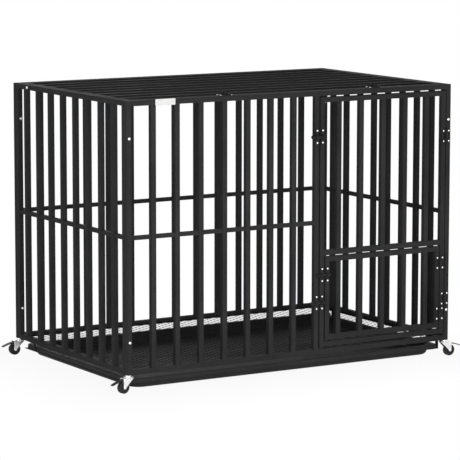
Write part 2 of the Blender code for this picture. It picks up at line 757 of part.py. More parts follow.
def add_doors():
    hinge_y = FRONT - TOUCH - KNUCKLE_RADIUS
    axis_x = RIGHT - TUBE - DOOR_HINGE_GAP / 2
    door = body("big_door_body", (axis_x, hinge_y, BASE))
    piece("big_door", big_door(), black_steel, door)
    add_leaf_hinge("door_hinge_lower", axis_x, BASE + DOOR_HINGE_RISE, None, door)
    add_leaf_hinge("door_hinge_upper", axis_x, TOP - DOOR_HINGE_DROP, None, door)
    step = TUBE + DOOR_LATCH_GAP
    jamb_middle = DOOR_LEFT - step + TUBE / 2
    flat = Matrix.Identity(4)
    add_latch("door_latch_lower", flat, jamb_middle, FRONT, BASE + DOOR_LATCH_RISE, step, None, door)
    add_latch("door_latch_upper", flat, jamb_middle, FRONT, TOP - DOOR_LATCH_DROP, step, None, door)
    small_axis = DOOR_RIGHT - TUBE - DOOR_HINGE_GAP / 2
    small = body("small_door_body", (small_axis, hinge_y, BASE), parent=door)
    piece("small_door", small_door(), black_steel, small)
    add_leaf_hinge("small_hinge_lower", small_axis, SMALL_LOW + SMALL_HINGE_RISE, door, small)
    add_leaf_hinge("small_hinge_upper", small_axis, SMALL_HIGH - SMALL_HINGE_DROP, door, small)
    latch_z = SMALL_HIGH - SMALL_LATCH_DROP
    add_latch("small_latch", flat, DOOR_LEFT + TUBE / 2, FRONT, latch_z, step, door, small)


def add_lid():
    axis_y = BACK - TUBE - LID_HINGE_GAP / 2
    axis_z = TOP - BUTT_RADIUS - TOUCH
    cover = body("lid_body", (0.0, axis_y, axis_z))
    piece("lid", lid(), black_steel, cover)
    for word, x in zip(("left", "right"), (LEFT + LID_HINGE_INSET, RIGHT - LID_HINGE_INSET)):
        place = (x, axis_y, axis_z)
        piece(f"lid_hinge_{word}_rail_leaf", butt_fixed_leaf(), black_steel, None, place)
        piece(f"lid_hinge_{word}_lid_leaf", butt_moving_leaf(), black_steel, cover, place)
    step = TUBE + LID_GAP
    inset_left, inset_right = LID_LATCH_INSETS
    for word, x in zip(("left", "right"), (LEFT + inset_left, RIGHT - inset_right)):
        add_latch("lid_latch_" + word, ON_TOP, x, FRONT + TUBE / 2, TOP, step, None, cover)


def add_tray():
    slide = body("tray_body", (0.0, FRONT, BASE))
    piece("tray_pan", tray_pan(), black_steel, slide)


def add_caster(word, x, y, trail_degrees):
    place = Matrix.Translation((x, y, BASE)) @ Matrix.Rotation(math.radians(trail_degrees), 4, "Z")
    piece(f"caster_{word}_stem", caster_stem(), zinc, None, place)
    swivel = body(f"caster_{word}_body", (x, y, BASE), math.radians(trail_degrees))
    piece(f"caster_{word}_fork", caster_fork(), zinc, swivel, place)
    axle = place @ Matrix.Translation((CASTER_TRAIL, 0, AXLE_HEIGHT))
    piece(f"caster_{word}_wheel", caster_wheel(), black_plastic, swivel, axle)
    pivot = Matrix.Translation((PEDAL_PIVOT[0], 0, PEDAL_PIVOT[1]))
    pedal = brake_pedal()
    pedal.transform(pivot.inverted())
    piece(f"caster_{word}_pedal", pedal, black_plastic, swivel, place @ pivot)


def add_casters():
    in_x, in_y = CASTER_INSET
    add_caster("front_left", LEFT + in_x, FRONT + in_y, FRONT_LEFT_TRAIL)
    add_caster("front_right", RIGHT - in_x, FRONT + in_y, 0.0)
    add_caster("back_left", LEFT + in_x, BACK - in_y, 180.0)
    add_caster("back_right", RIGHT - in_x, BACK - in_y, 0.0)


def main():
    clear_scene()
    add_panels()
    add_doors()
    add_lid()
    add_tray()
    add_casters()


main()
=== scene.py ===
# %% [markdown]
# # A steel dog crate on casters
#
# The crate is a welded cage of square steel tube, powder coated black, with a big front door that
# holds a small one, a lid, a floor of expanded metal, a steel tray and four casters. The CAD model
# gives every piece its true size and place. This lesson dresses it: round tube edges, weld beads, a
# fine mesh floor, riveted latches and hinges, and finishes that vary as real ones do.

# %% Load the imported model
import math

import bpy
import numpy as np
from mathutils import Matrix, Vector


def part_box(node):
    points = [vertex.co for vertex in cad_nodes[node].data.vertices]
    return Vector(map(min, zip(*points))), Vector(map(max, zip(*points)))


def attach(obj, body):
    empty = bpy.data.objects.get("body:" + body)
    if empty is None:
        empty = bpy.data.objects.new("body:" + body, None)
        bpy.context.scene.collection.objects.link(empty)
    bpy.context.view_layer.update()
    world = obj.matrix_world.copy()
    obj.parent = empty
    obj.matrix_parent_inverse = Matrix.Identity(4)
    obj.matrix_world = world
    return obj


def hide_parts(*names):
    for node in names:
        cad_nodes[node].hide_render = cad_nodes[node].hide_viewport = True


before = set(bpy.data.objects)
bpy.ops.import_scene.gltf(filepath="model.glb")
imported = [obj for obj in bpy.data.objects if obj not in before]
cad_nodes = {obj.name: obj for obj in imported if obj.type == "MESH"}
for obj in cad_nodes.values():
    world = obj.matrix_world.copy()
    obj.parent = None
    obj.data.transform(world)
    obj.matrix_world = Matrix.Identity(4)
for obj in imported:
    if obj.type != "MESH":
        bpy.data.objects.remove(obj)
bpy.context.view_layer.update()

# %% [markdown]
# ## The camera
#
# The photograph was taken with a long lens from the left, from far enough above to look down by eight
# degrees. A long lens keeps upright lines nearly parallel, so the place, the turn and the focal
# length were worked out together from the crate's corners. Three turns in a row say where it looks:
# round the upright, then up or down, then a hair of roll.

# %% Place the camera
CAMERA_PLACE = (-4.070, -6.749, 1.495)
CAMERA_YAW = math.radians(-31.058)
CAMERA_PITCH = math.radians(90.0 - 8.046)
CAMERA_ROLL = math.radians(0.055)

lens = bpy.data.cameras.new("long_lens")
lens.lens = 207.55
lens.sensor_width = 36.0
camera = bpy.data.objects.new("photo_camera", lens)
bpy.context.scene.collection.objects.link(camera)
camera_turn = Matrix.Rotation(CAMERA_YAW, 4, "Z") @ Matrix.Rotation(CAMERA_PITCH, 4, "X")
camera_turn = camera_turn @ Matrix.Rotation(CAMERA_ROLL, 4, "Z")
camera.matrix_world = Matrix.Translation(CAMERA_PLACE) @ camera_turn
bpy.context.scene.camera = camera
bpy.context.scene.view_settings.view_transform = "Standard"
print("camera at", CAMERA_PLACE)

# %% [markdown]
# ## Writing finishes as sums
#
# A finish is a tree of nodes. Wiring each node by hand hides the thought behind it, so a socket is
# wrapped in a small class: `0.4 + 0.2 * cloud` then adds two Math nodes by itself. Every other node
# comes from one method that sets its options first and its sockets after them.


# %% The wrapped socket
class Wire:
    """A shader socket that can stand in a sum: each operator adds one Math node to the same tree."""

    def __init__(self, tree, socket=None):
        self.tree = tree
        self.socket = socket

    def add(self, kind, settings=None, values=None, output=0):
        """Any node: its type, its settings, then the values or wires of its sockets, by name or number."""
        node = self.tree.nodes.new(kind)
        for name, value in (settings or {}).items():
            setattr(node, name, value)
        for key, value in (values or {}).items():
            if isinstance(value, Wire):
                self.tree.links.new(value.socket, node.inputs[key])
            else:
                node.inputs[key].default_value = value
        return Wire(self.tree, node.outputs[output] if node.outputs else None)

    def sum(self, operation, first, second=0.0):
        """One Math node of the named operation on two wires or numbers."""
        return self.add("ShaderNodeMath", {"operation": operation}, {0: first, 1: second})

    def __add__(self, other):
        return self.sum("ADD", self, other)

    def __radd__(self, other):
        return self.sum("ADD", other, self)

    def __sub__(self, other):
        return self.sum("SUBTRACT", self, other)

    def __rsub__(self, other):
        return self.sum("SUBTRACT", other, self)

    def __mul__(self, other):
        return self.sum("MULTIPLY", self, other)

    def __rmul__(self, other):
        return self.sum("MULTIPLY", other, self)

    def mix(self, dark, pale):
        """The colour between two, by this wire."""
        return self.add("ShaderNodeMix", {"data_type": "RGBA"}, {0: self, 6: dark, 7: pale}, 2)


print("operators: + - *")

# %% [markdown]
# ## The stage
#
# Catalogue pictures show a product on pure white. More light would bleach the crate, so the white
# comes from the floor and the world themselves: both tell the camera, and every reflection, that
# they are white, while the crate is lit only by soft lamps and a dim world. Under the crate the floor
# keeps a small part of its true shading, which is a faint shadow, and that part fades out round it.

# %% The white world and floor
WORLD_LIGHT = 0.08
PAPER_SHADE = 0.86
FLOOR_SHADE = 0.07
FLOOR_SIZE = 30.0
FOOTPRINT = (0.55, 0.36, 0.0)
SHADOW_REACH = 0.30


def grey(level):
    """An opaque colour with the same level in red, green and blue."""
    return level, level, level, 1.0


def seen_white(tree):
    """1 where the camera, a mirror or a clear piece looks, 0 where light is gathered."""
    path = Wire(tree)
    camera_ray = path.add("ShaderNodeLightPath", output="Is Camera Ray")
    glossy_ray = path.add("ShaderNodeLightPath", output="Is Glossy Ray")
    clear_ray = path.add("ShaderNodeLightPath", output="Is Transmission Ray")
    either = path.sum("MAXIMUM", camera_ray, glossy_ray)
    return path.sum("MAXIMUM", either, clear_ray)


world = bpy.data.worlds.new("white_studio")
world.use_nodes = True
bpy.context.scene.world = world
world.node_tree.nodes.clear()
sky = Wire(world.node_tree)
white = seen_white(world.node_tree)
shade = white.mix(grey(WORLD_LIGHT), grey(1.0))
glow = sky.add("ShaderNodeBackground", {}, {"Color": shade, "Strength": 1.0})
sky.add("ShaderNodeOutputWorld", {}, {"Surface": glow})

floor_finish = bpy.data.materials.new("white_floor")
floor_finish.use_nodes = True
floor_tree = floor_finish.node_tree
floor_tree.nodes.clear()
paper = Wire(floor_tree)
dull = paper.add("ShaderNodeBsdfDiffuse", {}, {"Color": grey(PAPER_SHADE)})
bright = paper.add("ShaderNodeEmission", {}, {"Color": grey(1.0), "Strength": 1.0})
on_floor = paper.add("ShaderNodeTexCoord", output="Object")
folded = paper.add("ShaderNodeVectorMath", {"operation": "ABSOLUTE"}, {0: on_floor})
beyond = paper.add("ShaderNodeVectorMath", {"operation": "SUBTRACT"}, {0: folded, 1: FOOTPRINT})
outside = paper.add("ShaderNodeVectorMath", {"operation": "MAXIMUM"}, {0: beyond, 1: (0.0, 0.0, 0.0)})
away = paper.add("ShaderNodeVectorMath", {"operation": "LENGTH"}, {0: outside}, "Value")
fade = paper.add("ShaderNodeMapRange", {"clamp": True}, {"Value": away, "From Max": SHADOW_REACH})
keep = seen_white(floor_tree) * (1.0 - FLOOR_SHADE * (1.0 - fade))
blend = paper.add("ShaderNodeMixShader", {}, {0: keep, 1: dull, 2: bright})
paper.add("ShaderNodeOutputMaterial", {}, {"Surface": blend})

corner = FLOOR_SIZE / 2
floor_mesh = bpy.data.meshes.new("studio_floor")
floor_corners = [(-corner, -corner, 0.0), (corner, -corner, 0.0)]
floor_corners += [(corner, corner, 0.0), (-corner, corner, 0.0)]
floor_mesh.from_pydata(floor_corners, [], [(0, 1, 2, 3)])
floor_mesh.materials.append(floor_finish)
floor = bpy.data.objects.new("studio_floor", floor_mesh)
bpy.context.scene.collection.objects.link(floor)
print("world light", WORLD_LIGHT, "floor shade", FLOOR_SHADE)

# %% [markdown]
# ## The lamps
#
# A big soft lamp in front and to the left is what a photographer's softbox does. It stands near
# enough that its light falls off through the cage, so the front tubes are the brightest and the back
# ones sink into grey. A second one lights the left end, a small one above lifts the tops, and weak
# ones fill the right side and the back.

# %% Soft lamps
# Each row: name, place, the point that it faces, width and height in metres, watts
LAMPS = (
    ("front_softbox", (-0.3, -2.35, 0.60), (0.05, -0.35, 0.40), (2.6, 1.1), 33.0),
    ("left_softbox", (-2.9, -0.9, 0.8), (-0.3, 0.0, 0.40), (1.6, 1.4), 24.0),
    ("top_softbox", (0.0, -0.6, 3.0), (0.0, 0.0, 0.5), (2.4, 2.0), 4.5),
    ("right_fill", (3.0, -0.8, 0.8), (0.0, 0.0, 0.4), (1.6, 1.4), 9.0),
    ("back_fill", (0.4, 3.0, 0.8), (0.0, 0.0, 0.4), (2.0, 1.4), 10.0),
)


def soft_lamp(name, place, aim, size, power):
    """An oblong area lamp that faces a point and is hidden from the camera."""
    lamp = bpy.data.lights.new(name, "AREA")
    lamp.shape = "RECTANGLE"
    lamp.size, lamp.size_y = size
    lamp.energy = power
    carrier = bpy.data.objects.new(name, lamp)
    bpy.context.scene.collection.objects.link(carrier)
    turn = (Vector(place) - Vector(aim)).to_track_quat("Z", "Y").to_matrix().to_4x4()
    carrier.matrix_world = Matrix.Translation(place) @ turn
    carrier.visible_camera = False


for lamp_values in LAMPS:
    soft_lamp(*lamp_values)
print("lamps:", ", ".join(values[0] for values in LAMPS))

# %% [markdown]
# ## The finishes
#
# Powder coat is plastic dust baked onto steel. Close to, it has an orange-peel skin; from further
# away its gloss is a little cloudy, with faint dusty patches. Three noises of different scale give
# these: a coarse one for shade and gloss, a middle one for dust and a fine one for the bump. They
# read Object coordinates, which are metres in the crate's own frame.

# %% A finish from noises
OBJECT_PLACE = ("ShaderNodeTexCoord", {}, {}, "Object")
CLOUD_SCALE = 7.0
DUST_SCALE = 60.0
DUST_SPAN = (0.52, 0.75)
DUST_SHARE = 0.4
BLUE_TINT = 0.001


def new_finish(name):
    """A material with its shader, and a wire into its tree."""
    made = bpy.data.materials.new(name)
    made.use_nodes = True
    return made, made.node_tree.nodes["Principled BSDF"], Wire(made.node_tree)


def cloud(wire, scale, detail=3.0, low=0.35, high=0.65):
    """Noise in metres, stretched so that its usual low and high become 0 and 1."""
    place = wire.add(*OBJECT_PLACE)
    noise = wire.add("ShaderNodeTexNoise", {}, {"Vector": place, "Scale": scale, "Detail": detail})
    spread = {"Value": noise, "From Min": low, "From Max": high}
    return wire.add("ShaderNodeMapRange", {"clamp": True}, spread)


def bumps(wire, height, distance):
    """A bump from a height between 0 and 1, whose full height is the distance in metres."""
    return wire.add("ShaderNodeBump", {}, {"Distance": distance, "Height": height})


def coated(name, dark, pale, gloss, peel, specular, metal=0.0):
    """A coat whose shade and roughness follow how worn a place is, with fine bumps all over.

    Worn = a share of coarse cloud plus a share of dust. Roughness = the first gloss value plus the
    second times worn. Peel is the scale of the bumps' noise and their height in metres.
    """
    made, shader, wire = new_finish(name)
    broad = cloud(wire, CLOUD_SCALE)
    dust = cloud(wire, DUST_SCALE, 4.0, *DUST_SPAN)
    worn = broad * (1.0 - DUST_SHARE) + dust * DUST_SHARE
    link = wire.tree.links.new
    link(worn.mix((*dark, 1.0), (*pale, 1.0)).socket, shader.inputs["Base Color"])
    link((gloss[0] + gloss[1] * worn).socket, shader.inputs["Roughness"])
    link(bumps(wire, cloud(wire, peel[0], 2.0), peel[1]).socket, shader.inputs["Normal"])
    shader.inputs["Metallic"].default_value = metal
    shader.inputs["Specular IOR Level"].default_value = specular
    return made


def black(level):
    """A black with a hair of blue, as powder coats have."""
    return level, level, level + BLUE_TINT


tube_coat = coated("black_powder_coat", black(0.031), black(0.046), (0.46, 0.16), (900.0, 6e-5), 0.015)
plate_coat = coated("pressed_black_coat", black(0.028), black(0.042), (0.40, 0.16), (1200.0, 5e-5), 0.02)
grate_coat = coated("black_mesh_coat", black(0.015), black(0.023), (0.50, 0.20), (1500.0, 8e-5), 0.0)
tray_coat = coated("black_tray_coat", black(0.033), black(0.046), (0.40, 0.16), (500.0, 9e-5), 0.035)
print("coats:", tube_coat.name, plate_coat.name, grate_coat.name, tray_coat.name)

# %% [markdown]
# The casters and screws are zinc plated: bright, with cloudy patches where the plating is thicker.
# The wheels are hard black rubber, grainy from their mould, and the pedals are ribbed black nylon.
# The name plate's place is bare white enamel. All of them are the same kind of coat with other values.

# %% Zinc, rubber, nylon and enamel
ZINC_SHADES = (0.80, 0.80, 0.81), (0.90, 0.90, 0.90)
ENAMEL_SHADES = (0.80, 0.80, 0.79), (0.86, 0.86, 0.85)
zinc = coated("bright_zinc", *ZINC_SHADES, (0.24, 0.18), (2500.0, 2e-5), 0.5, 0.92)
rubber = coated("black_wheel_rubber", black(0.014), black(0.030), (0.52, 0.25), (1800.0, 8e-5), 0.25)
nylon = coated("black_pedal_nylon", black(0.012), black(0.022), (0.38, 0.2), (2200.0, 5e-5), 0.35)
enamel = coated("white_enamel", *ENAMEL_SHADES, (0.26, 0.12), (700.0, 3e-5), 0.4)
print("bare finishes:", zinc.name, rubber.name, nylon.name, enamel.name)

# %% [markdown]
# ## Closed skins
#
# Each shape here is a grid of points: rings that follow each other, or a sheet with two sides. A
# closed skin has an inside, so its volume is known from its corners alone, and its sign says whether
# the faces look outwards. Checking it once, in the class, keeps every later shape right.


# %% The skin class
class Skin:
    """A closed skin: points, four-sided faces and three-sided faces, turned to look outwards."""

    def __init__(self, points, quads, tris=()):
        self.points = np.asarray(points, float).reshape(-1, 3)
        self.quads = np.asarray(quads, int).reshape(-1, 4)
        self.tris = np.asarray(tris, int).reshape(-1, 3)
        if self.volume() < 0.0:
            self.quads = self.quads[:, ::-1]
            self.tris = self.tris[:, ::-1]

    def volume(self):
        """A sixth of the sum over all triangles of the first corner dotted with the others' cross product."""
        corners = np.concatenate((self.quads[:, [0, 1, 2]], self.quads[:, [0, 2, 3]], self.tris))
        first, second, third = (self.points[corners[:, k]] for k in range(3))
        return float(np.sum(first * np.cross(second, third))) / 6.0

    def moved(self, place):
        """The same skin after a 4 by 4 matrix: each point times its turn, plus its shift."""
        place = np.array(place)
        return Skin(self.points @ place[:3, :3].T + place[:3, 3], self.quads, self.tris)

    def copies(self, shifts):
        """The same skin at many places: every point plus every shift, and face numbers that follow on."""
        shifts = np.asarray(shifts, float).reshape(-1, 1, 3)
        steps = np.arange(len(shifts)).reshape(-1, 1, 1) * len(self.points)
        return Skin((self.points[None] + shifts), self.quads[None] + steps, self.tris[None] + steps)


def together(skins):
    """One skin from several, which keep their own closed surfaces."""
    starts = np.cumsum([0] + [len(one.points) for one in skins])
    points = np.concatenate([one.points for one in skins])
    quads = np.concatenate([one.quads + start for one, start in zip(skins, starts)])
    tris = np.concatenate([one.tris + start for one, start in zip(skins, starts)])
    return Skin(points, quads, tris)


print("a skin keeps its own volume's sign")

# %% [markdown]
# `loft` joins rings of points. Open, its ends close on their own middle point; round, the last ring
# meets the first, as in a picture frame or a tyre. `spin` makes the rings by turning a profile, and
# `sheet` gives a surface two sides and a rim, as pressed steel has.


# %% Lofts, spins and sheets
def loft(grid, round_trip=False):
    """Four-sided faces between each ring and the next; the last point of a ring joins its first."""
    rows, columns = grid.shape[:2]
    number = np.arange(rows * columns).reshape(rows, columns)
    points = grid.reshape(-1, 3)
    if round_trip:
        number = np.vstack((number, number[:1]))
    side = np.roll(number, -1, axis=1)
    quads = np.stack((number[:-1], side[:-1], side[1:], number[1:]), -1)
    if round_trip:
        return Skin(points, quads)
    near = np.stack((side[0], number[0], np.full(columns, rows * columns)), -1)
    far = np.stack((number[-1], side[-1], np.full(columns, rows * columns + 1)), -1)
    points = np.vstack((points, grid[0].mean(0), grid[-1].mean(0)))
    return Skin(points, quads, np.vstack((near, far)))


def spin(profile, sides=32, round_trip=False):
    """A profile of (radius, height) turned round Z: x and y are the radius times cosine and sine."""
    profile = np.asarray(profile, float)
    angle = np.linspace(0.0, 2 * math.pi, sides, endpoint=False)
    grid = np.zeros((len(profile), sides, 3))
    grid[..., 0] = profile[:, :1] * np.cos(angle)
    grid[..., 1] = profile[:, :1] * np.sin(angle)
    grid[..., 2] = profile[:, 1:]
    return loft(grid, round_trip)


def sheet(middle, normals, wall):
    """A surface made into sheet metal: half the wall to either side, and a rim of faces round the edge."""
    rows, columns = middle.shape[:2]
    sides = np.stack((middle + normals * wall / 2, middle - normals * wall / 2))
    number = np.arange(2 * rows * columns).reshape(2, rows, columns)
    top, under = number
    upper = np.stack((top[:-1, :-1], top[:-1, 1:], top[1:, 1:], top[1:, :-1]), -1)
    lower = np.stack((under[:-1, :-1], under[1:, :-1], under[1:, 1:], under[:-1, 1:]), -1)
    rim_top = np.concatenate((top[0, :-1], top[:-1, -1], top[-1, :0:-1], top[:0:-1, 0]))
    rim_under = np.concatenate((under[0, :-1], under[:-1, -1], under[-1, :0:-1], under[:0:-1, 0]))
    rim = np.stack((rim_top, rim_under, np.roll(rim_under, -1), np.roll(rim_top, -1)), -1)
    return Skin(sides.reshape(-1, 3), np.concatenate((upper.reshape(-1, 4), lower.reshape(-1, 4), rim)))


print("loft, spin and sheet are ready")

# %% [markdown]
# ## Square tube
#
# Square tube of furniture grade has crisp outer corners, with a radius under its wall. The outline is
# four quarter circles, carried along the tube; its end rings are drawn in a little, for the soft edge
# that grinding and paint leave. The same outline makes riveted plates, when it is wide and thin.

# %% Tube and plate
TUBE_CORNER = 0.0007
SOFT_EDGE = 0.0003
PLATE_CORNER = 0.0024
PLATE_EDGE = 0.00025
CORNER_STEPS = 4


def round_rectangle(half_wide, half_tall, radius, steps=CORNER_STEPS):
    """Four quarter circles: each corner's middle plus the radius times cosine and sine."""
    sweep = np.linspace(0.0, math.pi / 2, steps + 1)
    angle = np.arange(4)[:, None] * math.pi / 2 + sweep
    sign_wide = np.array([1.0, -1.0, -1.0, 1.0])[:, None]
    sign_tall = np.array([1.0, 1.0, -1.0, -1.0])[:, None]
    wide = sign_wide * (half_wide - radius) + radius * np.cos(angle)
    tall = sign_tall * (half_tall - radius) + radius * np.sin(angle)
    return np.stack((wide.ravel(), tall.ravel()), -1)


def bar(low, high, along, radius=TUBE_CORNER, soft=SOFT_EDGE):
    """A round-cornered rectangle carried along one axis between two corners of its box."""
    low, high = np.asarray(low, float), np.asarray(high, float)
    wide, tall = [k for k in range(3) if k != along]
    middle, half = (low + high) / 2, (high - low) / 2
    stations = ((low[along], soft), (low[along] + soft, 0.0), (high[along] - soft, 0.0), (high[along], soft))
    rings = []
    for place, inset in stations:
        flat = round_rectangle(half[wide] - inset, half[tall] - inset, radius - inset)
        ring = np.zeros((len(flat), 3))
        ring[:, wide] = middle[wide] + flat[:, 0]
        ring[:, tall] = middle[tall] + flat[:, 1]
        ring[:, along] = place
        rings.append(ring)
    return loft(np.stack(rings))


def mitred(low, high, across, up, width, radius=TUBE_CORNER):
    """A frame of tube with mitred corners: at each of four corners the outline's points move inwards
    along both of the frame's directions by the same amount, which is what a mitre cut does."""
    low, high = np.asarray(low, float), np.asarray(high, float)
    deep = 3 - across - up
    half_deep = (high[deep] - low[deep]) / 2
    flat = round_rectangle(width / 2, half_deep, radius)
    inward = flat[:, 0] + width / 2
    corners = np.array([[0, 0], [1, 0], [1, 1], [0, 1]])
    grid = np.zeros((4, len(flat), 3))
    for plane, axis in enumerate((across, up)):
        edge = np.where(corners[:, plane] == 0, low[axis], high[axis])[:, None]
        step = np.where(corners[:, plane] == 0, 1.0, -1.0)[:, None]
        grid[..., axis] = edge + step * inward
    grid[..., deep] = low[deep] + half_deep + flat[:, 1]
    return loft(grid, round_trip=True)


print("tube corner", TUBE_CORNER, "m")

# %% [markdown]
# ## Weld beads
#
# Where a bar meets a rail, the welder leaves a small fillet in each inner corner, which rounds the
# corners of the openings. It is a short loft: its cross-section is a bulging quarter between two legs,
# and the leg swells and shrinks along the bead, in the ripples that a moving torch leaves. A seam is
# the flat, ground weld over a mitre.

# %% Beads and seams
BEAD_LEG = 0.0024
BEAD_BURIED = 0.0008
BEAD_STATIONS = 7
BEAD_START = 0.35
BEAD_RIPPLES = 4
BEAD_RIPPLE = 0.1
BEAD_BULGE = 0.2
TUBE_MARGIN = 0.0011
SEAM_HALF = 0.0009
SEAM_RISE = 0.00016
SEAM_SINK = 2e-5
SEAM_BURIED = 0.0004
SEAM_SPAN = (0.14, 0.97)
SEAM_LONG = 0.84


def beads(spots, across, up, span):
    """Fillets at spots (place across, place up, and the two signs of the corner that opens there).

    Leg = size times (start + the rest times the root of a half wave along the bead), with a ripple; the
    face is an arc from one leg to the other that bulges past the straight line by a share of the leg.
    """
    deep = 3 - across - up
    spots = np.asarray(spots, float).reshape(-1, 4)
    along = np.linspace(0.0, 1.0, BEAD_STATIONS)
    wave = np.sqrt(np.sin(math.pi * np.clip(along, 0.03, 0.97)))
    swell = BEAD_START + (1.0 - BEAD_START) * wave
    leg = BEAD_LEG * swell * (1.0 + BEAD_RIPPLE * np.cos(along * BEAD_RIPPLES * 2 * math.pi))
    turn = np.linspace(0.0, 1.0, 4)
    bulge = BEAD_BULGE * np.sin(math.pi * turn) / math.sqrt(2.0)
    face = np.stack((1.0 - turn + bulge, turn + bulge), -1)
    skins = []
    for sign_across, sign_up in ((1, 1), (1, -1), (-1, 1), (-1, -1)):
        chosen = spots[(spots[:, 2] == sign_across) & (spots[:, 3] == sign_up)]
        if len(chosen) == 0:
            continue
        grid = np.full((BEAD_STATIONS, len(turn) + 1, 3), -BEAD_BURIED)
        grid[:, :-1, across] = leg[:, None] * face[:, 0]
        grid[:, :-1, up] = leg[:, None] * face[:, 1]
        grid[:, 0, up] = -BEAD_BURIED
        grid[:, -2, across] = -BEAD_BURIED
        grid[..., across] *= sign_across
        grid[..., up] *= sign_up
        grid[..., deep] = (span[0] + (span[1] - span[0]) * along)[:, None]
        shifts = np.zeros((len(chosen), 3))
        shifts[:, across] = chosen[:, 0]
        shifts[:, up] = chosen[:, 1]
        skins.append(loft(grid).copies(shifts))
    return skins


def seams(low, high, across, up, width):
    """Ground welds over the mitres, on both faces: a low lens carried from outer to inner corner.

    Half its width falls as the root of 1 - (twice the way from its middle / its length) to the fourth;
    its height is the rise times 1 - (place across / half width) squared.
    """
    deep = 3 - across - up
    along = np.linspace(*SEAM_SPAN, 5)
    over = np.linspace(-1.0, 1.0, 5)
    from_middle = 2 * (along - sum(SEAM_SPAN) / 2) / SEAM_LONG
    half = SEAM_HALF * np.sqrt(np.clip(1.0 - from_middle**4, 0.05, 1.0))
    slide = half[:, None] * over / math.sqrt(2.0)
    skins = []
    for sign_across, edge_across in ((1, low[across]), (-1, high[across])):
        for sign_up, edge_up in ((1, low[up]), (-1, high[up])):
            for face, out in ((low[deep], -1), (high[deep], 1)):
                grid = np.zeros((5, 6, 3))
                grid[:, :5, across] = edge_across + sign_across * (width * along[:, None] + slide)
                grid[:, :5, up] = edge_up + sign_up * (width * along[:, None] - slide)
                grid[:, :5, deep] = face + out * (SEAM_RISE * (1.0 - over**2) - SEAM_SINK)
                grid[:, 5] = grid[:, 2]
                grid[:, 5, deep] = face - out * SEAM_BURIED
                skins.append(loft(grid))
    return skins


print("bead leg", BEAD_LEG, "m")

# %% [markdown]
# ## From skins to pieces
#
# One function turns skins into a piece of the crate. It shades smoothly, but keeps an edge sharp
# wherever two faces meet at more than 40 degrees. It also hangs the piece on the empty of the body
# that carries it, and hides the CAD nodes that it stands for.

# %% Make a piece
SHARP_EDGE = math.radians(40.0)
made_pieces = []


def make(name, skins, finish, body, stands_for=()):
    """A named mesh from skins, riding on a body, with its finish."""
    whole = together(skins)
    mesh = bpy.data.meshes.new(name)
    mesh.from_pydata(whole.points.tolist(), [], whole.quads.tolist() + whole.tris.tolist())
    mesh.polygons.foreach_set("use_smooth", np.ones(len(mesh.polygons), bool))
    mesh.set_sharp_from_angle(angle=SHARP_EDGE)
    mesh.materials.append(finish)
    piece = bpy.data.objects.new(name, mesh)
    bpy.context.scene.collection.objects.link(piece)
    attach(piece, body)
    if stands_for:
        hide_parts(*stands_for)
    made_pieces.append(piece)
    print(name, len(whole.quads) * 2 + len(whole.tris), "triangles")
    return piece


def node_box(name):
    """The lowest and highest corner of a CAD node, as arrays."""
    low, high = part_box(name)
    return np.array(low), np.array(high)


# %% [markdown]
# ## The four panels
#
# Each side of the crate is a frame of 15 mm tube with upright bars between its rails and a slimmer
# rail halfway up, which runs through the bars a little behind their face. The bars reach into the
# rails by less than the corner radius, where the rail already curves away, so no two faces lie in one
# plane. Sizes come from the CAD node's own box.

# %% Panels of bars
BAR_REACH = 0.0005
MID_TUBE = 0.012
MID_HEIGHT = 0.388
PITCHES = 14

front_low, front_high = node_box("front_panel")
TUBE = front_high[1] - front_low[1]
BASE = front_low[2]
LEFT, RIGHT = front_low[0], front_high[0]
FRONT = front_low[1]
BACK = node_box("back_panel")[1][1]
PITCH = (RIGHT - LEFT - TUBE) / PITCHES
MID_LOW = BASE + MID_HEIGHT - MID_TUBE / 2
MID_HIGH = MID_LOW + MID_TUBE


def upright_bars(starts, across, up, low, high, rail_low, rail_high):
    """Equal bars that stand between two rail faces, and the beads in the corners where they meet."""
    first = np.array(low, float)
    last = np.array(high, float)
    first[across], last[across] = 0.0, TUBE
    first[up], last[up] = rail_low - BAR_REACH, rail_high + BAR_REACH
    shifts = np.zeros((len(starts), 3))
    shifts[:, across] = starts
    spots = []
    for start in starts:
        for place, side in ((start, -1), (start + TUBE, 1)):
            spots += [(place, rail_low, side, 1), (place, rail_high, side, -1)]
    return bar(first, last, up).copies(shifts), spots


def bar_panel(name, across, starts, mid_end=None):
    """A whole panel: mitred frame, bars, mid rail, beads and seams."""
    up, deep = 2, 3 - across - 2
    low, high = node_box(name)
    bars, spots = upright_bars(starts, across, up, low, high, low[up] + TUBE, high[up] - TUBE)
    for place, side in ((low[across] + TUBE, 1), (high[across] - TUBE, -1)):
        spots += [(place, low[up] + TUBE, side, 1), (place, high[up] - TUBE, side, -1)]
    skins = [mitred(low, high, across, up, TUBE), bars]
    skins += beads(spots, across, up, (low[deep] + TUBE_MARGIN, high[deep] - TUBE_MARGIN))
    skins += seams(low, high, across, up, TUBE)
    inset = (TUBE - MID_TUBE) / 2
    mid_low, mid_high = low.copy(), high.copy()
    mid_low[up], mid_high[up] = MID_LOW, MID_HIGH
    mid_low[deep] += inset
    mid_high[deep] -= inset
    mid_low[across] += TUBE / 2
    mid_high[across] = (high[across] if mid_end is None else mid_end) - TUBE / 2
    skins.append(bar(mid_low, mid_high, across))
    crossings = []
    for start in starts:
        for place, side in ((start, -1), (start + TUBE, 1)):
            if place < mid_high[across]:
                crossings += [(place, MID_HIGH, side, 1), (place, MID_LOW, side, -1)]
    reach = (low[deep] + inset + TUBE_MARGIN, high[deep] - inset - TUBE_MARGIN)
    skins += beads(crossings, across, up, reach)
    return make(name + "_tubes", skins, tube_coat, "frame", (name,))


